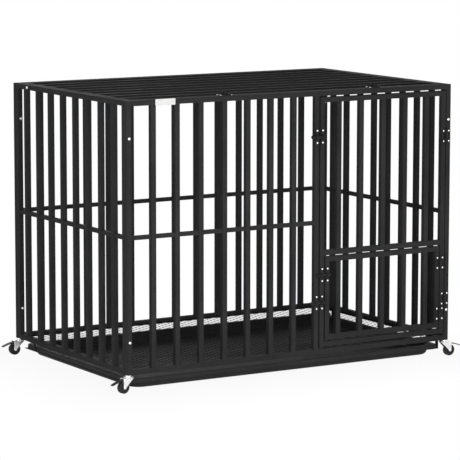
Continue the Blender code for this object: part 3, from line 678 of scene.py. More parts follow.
JAMB = 8
JAMB_EDGE = LEFT + PITCH * JAMB + TUBE
END_BARS = 8
END_BAR_INSETS = (0.0798, 0.0826)
bar_panel("front_panel", 0, LEFT + PITCH * np.arange(1, JAMB + 1), JAMB_EDGE)
bar_panel("back_panel", 0, LEFT + PITCH * np.arange(1, PITCHES))
end_starts = np.linspace(FRONT + END_BAR_INSETS[0], BACK - END_BAR_INSETS[1], END_BARS)
bar_panel("left_panel", 1, end_starts)
bar_panel("right_panel", 1, end_starts)

# %% [markdown]
# ## The doors and the lid
#
# The doors are made as the panels are, and their upright bars stand in line with the panel's pitch,
# so the row of bars runs on across the front. The big door has a cross rail over the small door. The
# lid is the same again, lying down: its frame is flat and its bars run along the crate.

# %% Doors
door_bars = LEFT + PITCH * np.arange(JAMB + 1, PITCHES)


def corner_spots(left, right, low, high):
    """The four inner corners of a frame, as bead spots."""
    return [(left, low, 1, 1), (right, low, -1, 1), (left, high, 1, -1), (right, high, -1, -1)]


def door_leaf(name, body, cross_low=None):
    """A door: mitred frame, bars over the cross rail or the bottom rail, beads and seams."""
    low, high = node_box(name)
    rail_low = low[2] + TUBE if cross_low is None else cross_low + TUBE
    bars, spots = upright_bars(door_bars, 0, 2, low, high, rail_low, high[2] - TUBE)
    spots += corner_spots(low[0] + TUBE, high[0] - TUBE, rail_low, high[2] - TUBE)
    skins = [mitred(low, high, 0, 2, TUBE), bars]
    if cross_low is not None:
        first, last = low.copy(), high.copy()
        first[2], last[2] = cross_low, cross_low + TUBE
        first[0] += TUBE - BAR_REACH
        last[0] -= TUBE - BAR_REACH
        skins.append(bar(first, last, 0))
        spots += corner_spots(low[0] + TUBE, high[0] - TUBE, low[2] + TUBE, cross_low)
    skins += beads(spots, 0, 2, (low[1] + TUBE_MARGIN, high[1] - TUBE_MARGIN))
    skins += seams(low, high, 0, 2, TUBE)
    return make(name + "_tubes", skins, tube_coat, body, (name,))


SMALL_OPENING = 0.255
door_leaf("big_door", "big_door", node_box("big_door")[0][2] + TUBE + SMALL_OPENING)
door_leaf("small_door", "small_door")

# %% The lid
LID_BARS = 8
lid_low, lid_high = node_box("lid")
lid_pitch = (lid_high[1] - lid_low[1] - TUBE) / (LID_BARS + 1)
lid_starts = lid_low[1] + lid_pitch * np.arange(1, LID_BARS + 1)
lid_bars, lid_spots = upright_bars(lid_starts, 1, 0, lid_low, lid_high, lid_low[0] + TUBE, lid_high[0] - TUBE)
lid_spots += corner_spots(lid_low[1] + TUBE, lid_high[1] - TUBE, lid_low[0] + TUBE, lid_high[0] - TUBE)
lid_skins = [mitred(lid_low, lid_high, 1, 0, TUBE), lid_bars]
lid_skins += beads(lid_spots, 1, 0, (lid_low[2] + TUBE_MARGIN, lid_high[2] - TUBE_MARGIN))
lid_skins += seams(lid_low, lid_high, 1, 0, TUBE)
make("lid_tubes", lid_skins, tube_coat, "lid", ("lid",))

# %% [markdown]
# ## The mesh floor
#
# Expanded metal starts as a sheet that is slit and pulled: every strand becomes a zigzag that is bonded
# to its neighbours at each crest. So the floor is a stack of zigzag strips, each the mirror image of
# the next. Seen this low, the dark strips hide more than half of the tray below, and the paler tray
# shows through as rows of small lenses.

# %% Expanded metal
MESH_LONG = 0.0355
MESH_SHORT = 0.022
STRAND_WIDE = 0.0020
STRAND_THICK = 0.0007
STRAND_TILT = math.radians(-3.0)
PERIOD_CORNERS = (0.08, 0.42, 0.58, 0.92)
BOND_SHARE = 0.7
BORDER = 0.014
BORDER_EDGE = 0.0007
STRAND_REACH = (0.003, 0.001)

grate_low, grate_high = node_box("floor_grate")


def strands(low, high, level):
    """Zigzag strips along X. A strip's place across is its row plus or minus the crest height. One period
    has four corners, two on each side, so each crest is a short flat bond with the next strip."""
    rows = int((high[1] - low[1]) / (MESH_SHORT / 2))
    spacing = (high[1] - low[1]) / rows
    periods = int(round((high[0] - low[0]) / MESH_LONG))
    place = ((np.arange(periods)[:, None] + PERIOD_CORNERS) / periods).ravel()
    x = low[0] + np.concatenate(([0.0], place, [1.0])) * (high[0] - low[0])
    side = np.concatenate(([1.0], np.tile([1.0, -1.0, -1.0, 1.0], periods), [1.0]))
    crest = (spacing - STRAND_WIDE * math.cos(STRAND_TILT) * BOND_SHARE) / 2
    half_wide, half_thick = STRAND_WIDE / 2, STRAND_THICK / 2
    flat = np.array([[-1, -1], [1, -1], [1, 1], [-1, 1]]) * (half_wide, half_thick)
    lean_y = flat[:, 0] * math.cos(STRAND_TILT) - flat[:, 1] * math.sin(STRAND_TILT)
    lean_z = flat[:, 0] * math.sin(STRAND_TILT) + flat[:, 1] * math.cos(STRAND_TILT)
    skins = []
    for parity in (0, 1):
        middle = low[1] + spacing * (np.arange(parity, rows, 2) + 0.5)
        grid = np.zeros((len(x), 4, 3))
        grid[..., 0] = x[:, None]
        grid[..., 1] = (1 - 2 * parity) * crest * side[:, None] + lean_y
        grid[..., 2] = level + lean_z
        shifts = np.zeros((len(middle), 3))
        shifts[:, 1] = middle
        skins.append(loft(grid).copies(shifts))
    return skins


grate_level = (grate_low[2] + grate_high[2]) / 2
net_inset = np.array([BORDER - STRAND_REACH[0], BORDER - STRAND_REACH[1], 0.0])
grate_skins = [mitred(grate_low, grate_high, 0, 1, BORDER, BORDER_EDGE)]
grate_skins += strands(grate_low + net_inset, grate_high - net_inset, grate_level)
make("floor_mesh", grate_skins, grate_coat, "frame", ("floor_grate",))

# %% [markdown]
# ## The tray
#
# The tray is one pressed sheet. Seen in section it starts at the hem, climbs the turned-down skirt,
# bends over into the flat rim, drops down the pan's wall and sweeps into the floor. That section is a
# path; half the wall to either side of it gives the sheet, and each point of it becomes a rounded
# rectangle drawn in by that much.

# %% The pressed tray
TRAY_WALL = 0.0015
TRAY_SKIRT = 0.013
TRAY_FLANGE = 0.018
SKIRT_BEND = 0.0022
WALL_BEND = 0.0035
FLOOR_BEND = 0.0095
TRAY_CORNER_INSETS = (0.0, TRAY_FLANGE, TRAY_FLANGE + 0.012)
TRAY_CORNERS = (0.025, 0.040, 0.028)
TRAY_CORNER_STEPS = 10
tray_low, tray_high = node_box("tray_pan")


def arc(middle, radius, start, end, steps):
    """Points of a circle's arc: middle plus radius times cosine and sine, from one angle to another."""
    angle = np.radians(np.linspace(start, end, steps))
    return np.stack((middle[0] + radius * np.cos(angle), middle[1] + radius * np.sin(angle)), -1)


def tray_section():
    """The sheet's middle line as (inset, height) from the skirt's hem to the middle of the floor's edge."""
    half = TRAY_WALL / 2
    top = tray_high[2] - half
    floor_level = tray_low[2] + half
    wall_at = TRAY_FLANGE - half
    hem = (half, tray_high[2] - TRAY_SKIRT)
    rim_bend = arc((half + SKIRT_BEND, top - SKIRT_BEND), SKIRT_BEND, 180.0, 90.0, 6)
    inner_bend = arc((wall_at - WALL_BEND, top - WALL_BEND), WALL_BEND, 90.0, 0.0, 6)
    floor_bend = arc((wall_at + FLOOR_BEND, floor_level + FLOOR_BEND), FLOOR_BEND, 180.0, 270.0, 9)
    return np.vstack((hem, rim_bend, inner_bend, floor_bend))


def tray_ring(inset, level):
    """A rounded rectangle drawn in by the inset; its corners open up over the flange and close in the pan."""
    middle = (tray_low[:2] + tray_high[:2]) / 2
    half = (tray_high[:2] - tray_low[:2]) / 2 - inset
    radius = np.interp(inset, TRAY_CORNER_INSETS, TRAY_CORNERS)
    flat = round_rectangle(half[0], half[1], radius, TRAY_CORNER_STEPS) + middle
    return np.column_stack((flat, np.full(len(flat), level)))


section = tray_section()
step = np.gradient(section, axis=0)
across_step = np.stack((-step[:, 1], step[:, 0]), -1)
across_step /= np.linalg.norm(across_step, axis=1)[:, None]
upper = section + across_step * TRAY_WALL / 2
under = section - across_step * TRAY_WALL / 2
line = np.vstack((upper[::-1], under))
tray_grid = np.stack([tray_ring(inset, level) for inset, level in line])
make("tray_pressing", [loft(tray_grid)], tray_coat, "tray", ("tray_pan",))

# %% [markdown]
# ## Rivets and screws
#
# A rivet's head is a low dome: the profile falls as the square root of what is left of the radius. The
# corner screws have a button head with a hexagon socket, so their inner rings are six-sided: a ring's
# radius is divided by the cosine of the angle to the nearest flat. Each goes through its post, and a
# domed nut holds it on the inside.

# %% Domes and sockets
RIVET_RADIUS = 0.0027
RIVET_RISE = 0.0011
SCREW_RADIUS = 0.0042
SCREW_RISE = 0.0021
DOME_SHARES = (0.08, 0.35, 0.6, 0.8, 0.93, 1.0)
DOME_RIM = 0.00015
HEAD_BURIED = 0.0003
FACE_FRONT = Matrix.Rotation(math.radians(90.0), 4, "X")
FACE_BACK = Matrix.Rotation(math.radians(-90.0), 4, "X")
FACE_LEFT = Matrix.Rotation(math.radians(-90.0), 4, "Y")


def dome(radius, rise, sides=20):
    """Height = rise times the square root of 1 - (distance / radius) squared, down to a short rim."""
    share = np.array(DOME_SHARES)
    height = rise * np.sqrt(1.0 - share**2) + DOME_RIM
    profile = np.column_stack((radius * share, height))
    return spin(np.vstack((profile, (radius, -HEAD_BURIED))), sides)


# Each ring: radius and height, then 1 for a hexagon or 0 for a circle
SOCKET_RINGS = (
    (0.06, 0.42, 1), (0.30, 0.42, 1), (0.31, 0.98, 1), (0.45, 1.0, 0),
    (0.68, 0.86, 0), (0.88, 0.55, 0), (1.0, 0.16, 0), (1.0, -0.2, 0),
)
NUT_RINGS = (
    (0.0002, 0.0052, 0), (0.0012, 0.0050, 0), (0.0022, 0.0043, 0), (0.0028, 0.0032, 0),
    (0.0031, 0.0024, 0), (0.0036, 0.0022, 1), (0.0036, -0.0002, 1),
)


def hexagon_rings(rings, sides=36):
    """Rings of (radius, height, six): where six is 1, the radius is divided by the cosine of the angle
    to the middle of the nearest flat, which turns the circle into a hexagon."""
    radius, height, six = (np.array(column)[:, None] for column in zip(*rings))
    angle = np.linspace(0.0, 2 * math.pi, sides, endpoint=False)
    hexagon = 1.0 / np.cos((angle % (math.pi / 3)) - math.pi / 6)
    reach = radius * np.where(six == 1, hexagon, 1.0)
    return loft(np.stack((reach * np.cos(angle), reach * np.sin(angle), height + 0.0 * angle), -1))


def socket_screw():
    """A button head: hexagon rings inside its socket, circles outside, as shares of its radius and rise."""
    return hexagon_rings([(SCREW_RADIUS * wide, SCREW_RISE * tall, six) for wide, tall, six in SOCKET_RINGS])


def acorn_nut():
    """A domed nut: a round dome over a hexagon, in metres."""
    return hexagon_rings(NUT_RINGS)


SCREW_HEIGHTS = {"lower": 0.093, "upper": 0.667}
SCREW_INSET = 0.0078
RAIL_SCREW_DEEP, RAIL_SCREW_HIGH = 0.610, 0.764
for side, x in (("left", LEFT + SCREW_INSET), ("right", RIGHT - SCREW_INSET)):
    end_low, end_high = node_box(side + "_panel")
    through = (("front", FRONT, end_low[1] + TUBE, FACE_FRONT, FACE_BACK),)
    through += (("back", BACK, end_high[1] - TUBE, FACE_BACK, FACE_FRONT),)
    for level, height in SCREW_HEIGHTS.items():
        for end, outer, inner, out, inwards in through:
            head = socket_screw().moved(Matrix.Translation((x, outer, BASE + height)) @ out)
            nut = acorn_nut().moved(Matrix.Translation((x, inner, BASE + height)) @ inwards)
            make(f"{end}_{side}_{level}_screw", [head, nut], zinc, "frame")
rail_spot = Matrix.Translation((LEFT, FRONT + RAIL_SCREW_DEEP, BASE + RAIL_SCREW_HIGH))
make("left_rail_screw", [socket_screw().moved(rail_spot @ FACE_LEFT)], zinc, "frame")

# %% [markdown]
# ## Hinges
#
# Each hinge is two flat leaves with knuckles rolled round a pin: the post's leaf has the outer two
# knuckles, the door's leaf the one between them. The leaves are round-cornered plates, and each is
# riveted twice. The pieces keep the CAD's clearances, so the door turns without touching them.

# %% Leaf hinges
KNUCKLE = 0.0034
LEAF_WALL = 0.0016
LEAF_REACH = 0.015
LEAF_HALF = 0.021
KNUCKLE_LONG = 0.0105
PLAY = 0.0003
HINGE_RIVETS = (0.00915, 0.01525)
ROLL_EDGE = 0.00035
TAB_PAST = 0.003
TAB_CORNER, TAB_EDGE = 0.0003, 0.0001
PIN_RADIUS, PIN_RISE = 0.0015, 0.0006


def roller(radius, low, high, soft=ROLL_EDGE, sides=28):
    """A short solid round with a soft edge at both ends."""
    profile = ((radius - soft, low), (radius, low + soft), (radius, high - soft), (radius - soft, high))
    return spin(profile, sides)


def leaf(side, knuckles):
    """One leaf round an axis at the origin: its plate, and its knuckles with the tabs that join them on."""
    inner, outer = sorted((side * (KNUCKLE + PLAY), side * LEAF_REACH))
    back, face = KNUCKLE, KNUCKLE - LEAF_WALL
    skins = [bar((inner, face, -LEAF_HALF), (outer, back, LEAF_HALF), 1, PLATE_CORNER, PLATE_EDGE)]
    for low, high in knuckles:
        skins.append(roller(KNUCKLE, low, high))
        start, end = sorted((0.0, side * (KNUCKLE + TAB_PAST)))
        skins.append(bar((start, face, low), (end, back, high), 1, TAB_CORNER, TAB_EDGE))
    return skins


def rivets(places, turn):
    """Rivet heads at points of a plate, all facing one way."""
    return [dome(RIVET_RADIUS, RIVET_RISE).moved(Matrix.Translation(place) @ turn) for place in places]


def leaf_hinge(name, post, door):
    """Two leaves round the CAD's own axis, each on its body, with two rivets in each."""
    low, high = node_box(name + "_post_leaf")
    door_high = node_box(name + "_door_leaf")[1]
    axis_x = (low[0] + KNUCKLE + door_high[0] - KNUCKLE) / 2
    axis = Matrix.Translation((axis_x, high[1] - KNUCKLE, (low[2] + high[2]) / 2))
    middle = LEAF_HALF - KNUCKLE_LONG
    post_skins = leaf(1, ((-LEAF_HALF, -middle), (middle, LEAF_HALF)))
    for flip in (1, -1):
        pin_end = Matrix.Diagonal((1, 1, flip, 1)) @ Matrix.Translation((0, 0, LEAF_HALF))
        post_skins.append(dome(PIN_RADIUS, PIN_RISE).moved(pin_end))
    door_skins = leaf(-1, ((-middle + PLAY, middle - PLAY),))
    reach, rise = HINGE_RIVETS
    face = KNUCKLE - LEAF_WALL
    for side, body, word, skins in ((1, post, "post", post_skins), (-1, door, "door", door_skins)):
        placed = [one.moved(axis) for one in skins]
        make(f"{name}_{word}_plate", placed, plate_coat, body, (f"{name}_{word}_leaf",))
        heads = rivets([(side * reach, face, -rise), (side * reach, face, rise)], FACE_FRONT)
        make(f"{name}_{word}_rivets", [one.moved(axis) for one in heads], zinc, body)


leaf_hinge("door_hinge_lower", "frame", "big_door")
leaf_hinge("door_hinge_upper", "frame", "big_door")
leaf_hinge("small_hinge_lower", "big_door", "small_door")
leaf_hinge("small_hinge_upper", "big_door", "small_door")

# %% [markdown]
# ## Latches
#
# A latch is a barrel plate on the post, a keeper on the door and a round bolt that slides through
# both. Each barrel is a short pipe, spun as a closed ring, with a sloping web on either side down to its
# plate. The bolt has a round nose and a knob with a finger groove.

# %% Barrel, keeper and bolt
LATCH_WIDE = 0.013
LATCH_TALL = 0.044
LATCH_WALL = 0.0015
FACE_GAP = 0.0003
BARREL = 0.0046
BORE = 0.0033
BARREL_LIFT = 0.0057
BOLT = 0.0028
WEB_FOOT, WEB_HEEL, WEB_HEAD = 0.0074, 0.0032, 0.0042
WEB_BURIED = (0.0004, 0.0004, 0.0008)
WEB_SHORT = 0.0006
LATCH_RIVET = 0.0176
TRAVEL = 0.0095
TIP_PAST = 0.0032
KNOB, KNOB_LONG = 0.005, 0.006
KNOB_GROOVE = (
    (0.55, 0.0), (0.85, 0.0003), (1.0, 0.0012), (0.99, 0.0020), (0.86, 0.0028),
    (0.99, 0.0036), (1.0, 0.0044), (0.85, 0.0054), (BOLT / KNOB, KNOB_LONG),
)
NOSE_ROUND = ((1.0, 0.0016), (0.92, 0.0008), (0.7, 0.0002), (0.3, 0.0))
DOOR_GAP, LID_GAP = 0.004, 0.003
DOOR_KEEPER_STEP = TUBE + DOOR_GAP
LID_KEEPER_STEP = TUBE + LID_GAP
ALONG_X = Matrix.Rotation(math.radians(90.0), 4, "Y")
ON_TOP = Matrix(((0, 0, -1, 0), (1, 0, 0, 0), (0, -1, 0, 0), (0, 0, 0, 1)))


def mirrored(half):
    """The other end of a profile: its points backwards, with the place along the axis negated."""
    return [(radius, -along) for radius, along in half[::-1]]


def barrel_skins():
    """Plate, pipe and webs in the latch's own frame: the bolt's way is X and the plate faces -Y."""
    half, tall = LATCH_WIDE / 2, LATCH_TALL / 2
    axis = -FACE_GAP - BARREL_LIFT
    face = -FACE_GAP - LATCH_WALL
    plate = bar((-half, face, -tall), (half, -FACE_GAP, tall), 1, PLATE_CORNER, PLATE_EDGE)
    near, far = half - SOFT_EDGE, half
    pipe_line = [(BORE, -near), (BORE + SOFT_EDGE, -far), (BARREL - SOFT_EDGE, -far), (BARREL, -near)]
    pipe = spin(pipe_line + mirrored(pipe_line), 32, round_trip=True)
    pipe = pipe.moved(Matrix.Translation((0, axis, 0)) @ ALONG_X)
    skins = [plate, pipe]
    for side in (1, -1):
        outline = np.array([(face, WEB_FOOT), (face, WEB_HEEL), (axis, WEB_HEAD)])
        outline[:, 0] += WEB_BURIED
        grid = np.zeros((2, len(outline), 3))
        grid[..., 0] = np.array([[WEB_SHORT - half], [half - WEB_SHORT]])
        grid[..., 1] = outline[:, 0]
        grid[..., 2] = side * outline[:, 1]
        skins.append(loft(grid))
    return skins


def bolt_skin():
    """A turned rod: knob with a finger groove, shank and rounded nose, drawn back from the keeper.

    The groove and the nose are shares of the knob's and the rod's radius, with metres from their ends.
    """
    tail = -(LATCH_WIDE / 2 + TRAVEL + KNOB_LONG + FACE_GAP)
    tip = TUBE / 2 + TIP_PAST
    profile = [(KNOB * share, tail + along) for share, along in KNOB_GROOVE]
    profile += [(BOLT * share, tip - along) for share, along in NOSE_ROUND]
    return spin(profile, 28).moved(ALONG_X)


def latch(name, turn, keeper_step, post, door):
    """Barrel on one body, keeper on the other, and a bolt on its own, all set by the CAD's barrel."""
    low, high = node_box(name + "_barrel")
    middle = (low + high) / 2
    if turn is ON_TOP:
        place = Matrix.Translation((middle[0], middle[1], low[2] - FACE_GAP)) @ turn
    else:
        place = Matrix.Translation((middle[0], high[1] + FACE_GAP, middle[2])) @ turn
    away = place @ Matrix.Translation((keeper_step, 0, 0))
    lifted = place @ Matrix.Translation((0, -FACE_GAP - BARREL_LIFT, 0))
    plate_face = -FACE_GAP - LATCH_WALL
    for word, spot, body in (("barrel", place, post), ("keeper", away, door)):
        skins = [one.moved(spot) for one in barrel_skins()]
        make(f"{name}_{word}_plate", skins, plate_coat, body, (f"{name}_{word}",))
        heads = rivets([(0, plate_face, -LATCH_RIVET), (0, plate_face, LATCH_RIVET)], FACE_FRONT)
        make(f"{name}_{word}_rivets", [one.moved(spot) for one in heads], zinc, body)
    bolt_body = name.replace("latch", "bolt")
    rod = bolt_skin().moved(lifted)
    make(name + "_slide", [rod], plate_coat, bolt_body, (name + "_bolt",))


UPRIGHT = Matrix.Identity(4)
latch("door_latch_lower", UPRIGHT, DOOR_KEEPER_STEP, "frame", "big_door")
latch("door_latch_upper", UPRIGHT, DOOR_KEEPER_STEP, "frame", "big_door")
latch("small_latch", UPRIGHT, DOOR_KEEPER_STEP, "big_door", "small_door")
latch("lid_latch_left", ON_TOP, LID_KEEPER_STEP, "frame", "lid")
latch("lid_latch_right", ON_TOP, LID_KEEPER_STEP, "frame", "lid")

# %% [markdown]
# ## The name plate's place
#
# On the front's top rail sits a small enamelled plate. It stays bare here, with only a raised line
# round its edge: a white round-cornered plate with a thin frame on it.

# %% Bare plate
BARE_CORNER = 0.0020
LINE_RISE, LINE_BACK = 0.0003, 0.0005
LINE_INSET = 0.0012
LINE_WIDE = 0.0008
plate_low, plate_high = node_box("name_plate")
plate_body = bar(plate_low + (0, LINE_RISE, 0), plate_high, 1, BARE_CORNER, PLATE_EDGE)
plate_line_low = plate_low + (LINE_INSET, 0, LINE_INSET)
plate_line_high = plate_high - (LINE_INSET, LINE_BACK, LINE_INSET)
plate_line = mitred(plate_line_low, plate_line_high, 0, 2, LINE_WIDE, PLATE_EDGE)
make("bare_name_plate", [plate_body, plate_line], enamel, "frame", ("name_plate",))

# %% [markdown]
# ## Casters
#
# A caster is a stem with a ball race, a pressed fork, a wheel and a brake pedal. The fork is the
# interesting one: in section it is an upside-down U, and its cheeks get longer towards the axle. So it
# is a sheet over two directions, round the U and along the wheel, with the lower edge as a function of
# the place along: a slant from the nose, then the half circle of the foot.

# %% Caster sizes
TRAILS = {"front_left": 188.6, "front_right": 0.0, "back_left": 180.0, "back_right": 0.0}
AXLE = (0.018, -0.0325)
WHEEL = 0.0175
WHEEL_HALF = 0.007
FORK_WALL = 0.0013
WHEEL_PLAY = 0.0004
FORK_HALF = WHEEL_HALF + WHEEL_PLAY + FORK_WALL
FORK_TOP = -0.006
FORK_UNDER = -0.008
PEDAL_PIVOT = (0.020, -0.0116)
ALONG_Y = Matrix.Rotation(math.radians(90.0), 4, "X")


def at_axle(spot):
    """The place of something spun round Z that lies across the fork, at a spot along and down."""
    return Matrix.Translation((spot[0], 0, spot[1])) @ ALONG_Y


print("wheel", round(2000 * WHEEL), "mm, trailing", round(1000 * AXLE[0]), "mm behind its stem")

# %% [markdown]
# The stem is turned: a neck that screws into the post, a dust cap over the ball race, and the kingpin
# with its riveted end, on which the fork turns. One profile from top to bottom gives all of it.

# %% Stem
NECK = 0.0080
RACE = 0.0120
RACE_GAP = 0.0003
CAP_MIDDLE, CAP_BEND = 0.0128, 0.0010
KINGPIN = 0.0032
KINGPIN_END = ((0.0053, 0.0003), (0.0055, 0.0008), (0.0046, 0.0016), (0.0020, 0.0019))


def stem_skins():
    """Neck, dust cap and race as one turned piece, and the kingpin that holds the fork up: a profile of
    (radius, height) from the neck down, whose cap is an arc."""
    race = FORK_TOP + RACE_GAP
    cap = arc((CAP_MIDDLE, race + CAP_BEND), CAP_BEND, -60.0, 90.0, 7)
    line = [(NECK - 0.0002, -0.0003), (NECK, -0.0006), (NECK, race + 0.0024), (0.0092, race + 0.0021)]
    line += [tuple(point) for point in cap[::-1]]
    line += [(RACE, race), (KINGPIN, race), (KINGPIN, FORK_UNDER - RACE_GAP)]
    line += [(radius, FORK_UNDER - drop) for radius, drop in KINGPIN_END]
    return [spin(line, 40)]


print("race", round(2000 * RACE), "mm across")

# %% [markdown]
# The fork's sheet is a grid again. Each of its rows is one place along the wheel, where the U has its
# own depth, and a row's points go round the U. The crown disc, the axle and the pin are spun onto it.

# %% Fork
FORK_BEND = 0.0016
FORK_LIP = 0.001
NOSE = -0.011
FOOT = 0.0045
CROWN = 0.015
CROWN_BORE = 0.0036
AXLE_HEAD = ((0.0010, -0.0096), (0.0026, -0.0094), (0.0034, -0.0088), (0.0034, -FORK_HALF))
AXLE_ROD = 0.0025
PIN_HEAD = ((0.0008, -0.0092), (0.0015, -0.0090), (0.0018, -FORK_HALF))
PIN_ROD = 0.0013


def fork_section(lower):
    """Middle line of the U at one place along: up the near cheek, round the bend, over and down again."""
    side = FORK_HALF - FORK_WALL / 2
    top = FORK_TOP - FORK_WALL / 2
    up = np.column_stack((np.full(7, -side), np.linspace(lower, top - FORK_BEND, 7)))
    near = arc((-side + FORK_BEND, top - FORK_BEND), FORK_BEND, 180.0, 90.0, 6)
    half = np.vstack((up, near[1:], [(0.0, top)]))
    return np.vstack((half, half[-2::-1] * (-1.0, 1.0)))


def fork_skins():
    """The pressed fork with its crown disc, its axle and the pedal's pin.

    The cheek's lower edge is a straight slant from the nose to the foot, then the half circle of the
    foot: the axle's height less the root of the foot's radius squared less the way past it squared.
    """
    foot_start = AXLE[0] - FOOT
    foot_angle = np.linspace(0.0, math.pi, 15)[1:]
    along = np.concatenate((np.linspace(NOSE, foot_start, 14), AXLE[0] - FOOT * np.cos(foot_angle)))
    nose_edge = FORK_UNDER - FORK_LIP
    slant = nose_edge + (along - NOSE) / (foot_start - NOSE) * (AXLE[1] - nose_edge)
    foot = AXLE[1] - np.sqrt(np.clip(FOOT**2 - (along - AXLE[0]) ** 2, 0.0, None))
    lower = np.where(along < foot_start, slant, foot)
    sections = np.stack([fork_section(edge) for edge in lower])
    middle = np.concatenate((np.repeat(along[:, None, None], sections.shape[1], 1), sections), -1)
    run = np.gradient(sections, axis=1)
    normal = np.stack((np.zeros(run.shape[:2]), -run[..., 1], run[..., 0]), -1)
    normal /= np.linalg.norm(normal, axis=-1, keepdims=True)
    skins = [sheet(middle, normal, FORK_WALL)]
    ring = [(CROWN_BORE, FORK_UNDER), (CROWN - 0.0008, FORK_UNDER), (CROWN, FORK_UNDER + 0.0006)]
    ring += [(CROWN, FORK_TOP - 0.0004), (CROWN - 0.0005, FORK_TOP), (CROWN_BORE, FORK_TOP)]
    skins.append(spin(ring, 40, round_trip=True))
    for head, rod, spot, sides in ((AXLE_HEAD, AXLE_ROD, AXLE, 24), (PIN_HEAD, PIN_ROD, PEDAL_PIVOT, 16)):
        line = [*head, (rod, -FORK_HALF)]
        skins.append(spin(line + mirrored(line), sides).moved(at_axle(spot)))
    return skins


print("fork", round(2000 * FORK_HALF, 1), "mm wide")

# %% [markdown]
# The wheel is moulded in one piece, with a web that is thinner than its tread and hub. Half of its
# section is written down, and the other half is its mirror image.


# %% Wheel
def wheel_skin():
    """A moulded wheel: crowned tread, round shoulders, a sunk web and a raised hub, spun about the axle
    from half a profile of (radius, place along the axle) and its mirror image."""
    hub = [(0.0028, WHEEL_HALF), (0.0058, WHEEL_HALF), (0.0063, WHEEL_HALF - 0.0005)]
    web = [(0.0068, 0.0046), (0.0078, 0.0042), (0.0118, 0.0042), (0.0128, 0.0047)]
    shoulder = [(0.0133, WHEEL_HALF - 0.0005), (0.0139, WHEEL_HALF), (WHEEL - 0.0022, WHEEL_HALF)]
    tread = [(WHEEL - 0.0010, WHEEL_HALF - 0.0003), (WHEEL - 0.0003, WHEEL_HALF - 0.0011)]
    tread += [(WHEEL - 0.0001, WHEEL_HALF - 0.0024), (WHEEL, 0.0)]
    half = hub + web + shoulder + tread
    return spin(half + mirrored(half[:-1]), 56, round_trip=True)


print("wheel", round(2000 * WHEEL_HALF), "mm wide")

# %% [markdown]
# The brake pedal is a moulded lever that narrows, thins and droops towards its tip. All of these are
# functions of one number, the share of the way along it, and so are the ribs that give the shoe grip.

# %% Pedal
PEDAL_TIP = 0.060
PEDAL_DROOP, DROOP_POWER = 0.0115, 1.45
PEDAL_WIDE, PEDAL_NARROWS, NARROW_FROM = 0.0070, 0.0012, 0.7
PEDAL_THICK, PEDAL_THINS = 0.0018, 0.0008
PEDAL_CORNER = 0.0009
TIP_FROM = 0.93
RIB_SPAN = (0.62, 0.92)
RIB_STEP, RIB_RISE = 0.066, 0.0004
PEDAL_HUB = 0.0026


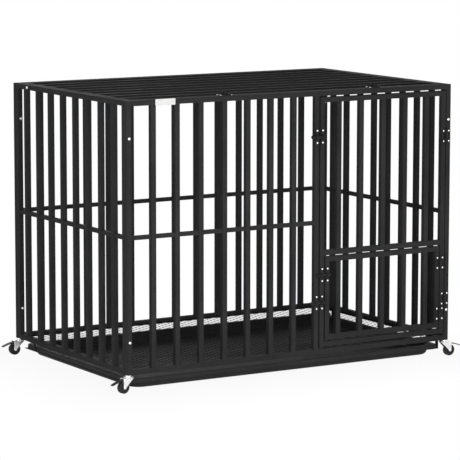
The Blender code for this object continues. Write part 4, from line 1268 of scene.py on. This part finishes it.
def pedal_skins():
    """A nylon lever: its spine falls as a power of the share of the way to the tip, its section is a
    round-cornered strip that narrows and thins, and its ribs are the upper halves of a sine wave."""
    share = np.linspace(0.0, 1.0, 41)
    x = PEDAL_PIVOT[0] + (PEDAL_TIP - PEDAL_PIVOT[0]) * share
    level = PEDAL_PIVOT[1] - PEDAL_DROOP * share**DROOP_POWER
    narrow = np.clip((share - NARROW_FROM) / (1.0 - NARROW_FROM), 0, 1) ** 2
    half_wide = PEDAL_WIDE - PEDAL_NARROWS * narrow
    half_tall = PEDAL_THICK - PEDAL_THINS * share
    end = np.sqrt(1.0 - np.clip((share - TIP_FROM) / (1.0 - TIP_FROM), 0, 0.98) ** 2)
    ribbed = (share > RIB_SPAN[0]) & (share < RIB_SPAN[1])
    rib = RIB_RISE * ribbed * np.clip(np.sin((share - RIB_SPAN[0]) * 2 * math.pi / RIB_STEP), 0, 1)
    grid = []
    for k in range(len(share)):
        wide = half_wide[k] * (0.6 + 0.4 * end[k])
        flat = round_rectangle(wide, half_tall[k] * end[k], PEDAL_CORNER * end[k])
        tall = flat[:, 1] + np.where(flat[:, 1] > 0.0, rib[k], 0.0)
        grid.append(np.column_stack((np.full(len(flat), x[k]), flat[:, 0], level[k] + tall)))
    hub = roller(PEDAL_HUB, -PEDAL_WIDE, PEDAL_WIDE, SOFT_EDGE, 24)
    return [loft(np.stack(grid)), hub.moved(at_axle(PEDAL_PIVOT))]


print("pedal", round(1000 * (PEDAL_TIP - PEDAL_PIVOT[0])), "mm long")

# %% [markdown]
# Each corner gets the same four pieces, on three bodies besides the frame. Only the way in which the
# fork trails differs, as it does on a crate that has just been rolled into place.


# %% Four casters
def caster(word, trail):
    """Stem, fork, wheel and pedal under one corner, with the fork turned to trail that way."""
    low, high = node_box(f"caster_{word}_stem")
    middle = (low + high) / 2
    place = Matrix.Translation((middle[0], middle[1], BASE)) @ Matrix.Rotation(math.radians(trail), 4, "Z")
    hub = place @ at_axle(AXLE)
    parts = (
        ("stem", "race", stem_skins(), place, zinc, "frame", "zinc"),
        ("fork", "pressing", fork_skins(), place, zinc, "fork_" + word, "zinc"),
        ("wheel", "tread", [wheel_skin()], hub, rubber, "wheel_" + word, "black_plastic"),
        ("pedal", "lever", pedal_skins(), place, nylon, "pedal_" + word, "black_plastic"),
    )
    for node, form, skins, spot, finish, body, slot in parts:
        name = f"caster_{word}_{node}"
        make(f"{name}_{form}", [one.moved(spot) for one in skins], finish, body, (name,))


for caster_word, caster_trail in TRAILS.items():
    caster(caster_word, caster_trail)

# %% [markdown]
# ## Pieces that stay as the CAD has them
#
# The tray's runners and the lid's butt hinges are plain bent strips that already have their true shape.
# They keep their mesh and only get the coat of the pressed parts.

# %% Coat the rest
plain_nodes = ["tray_runner_left", "tray_runner_right"]
plain_nodes += [f"lid_hinge_{end}_leaf" for end in ("left_rail", "left_lid", "right_rail", "right_lid")]
for node_name in plain_nodes:
    for coat_slot in cad_nodes[node_name].material_slots:
        coat_slot.material = plate_coat
print("coated:", ", ".join(plain_nodes))

# %% [markdown]
# ## Finish
#
# The number of dressed pieces is printed at the end.

# %% Count of pieces
print("pieces made:", len(made_pieces))
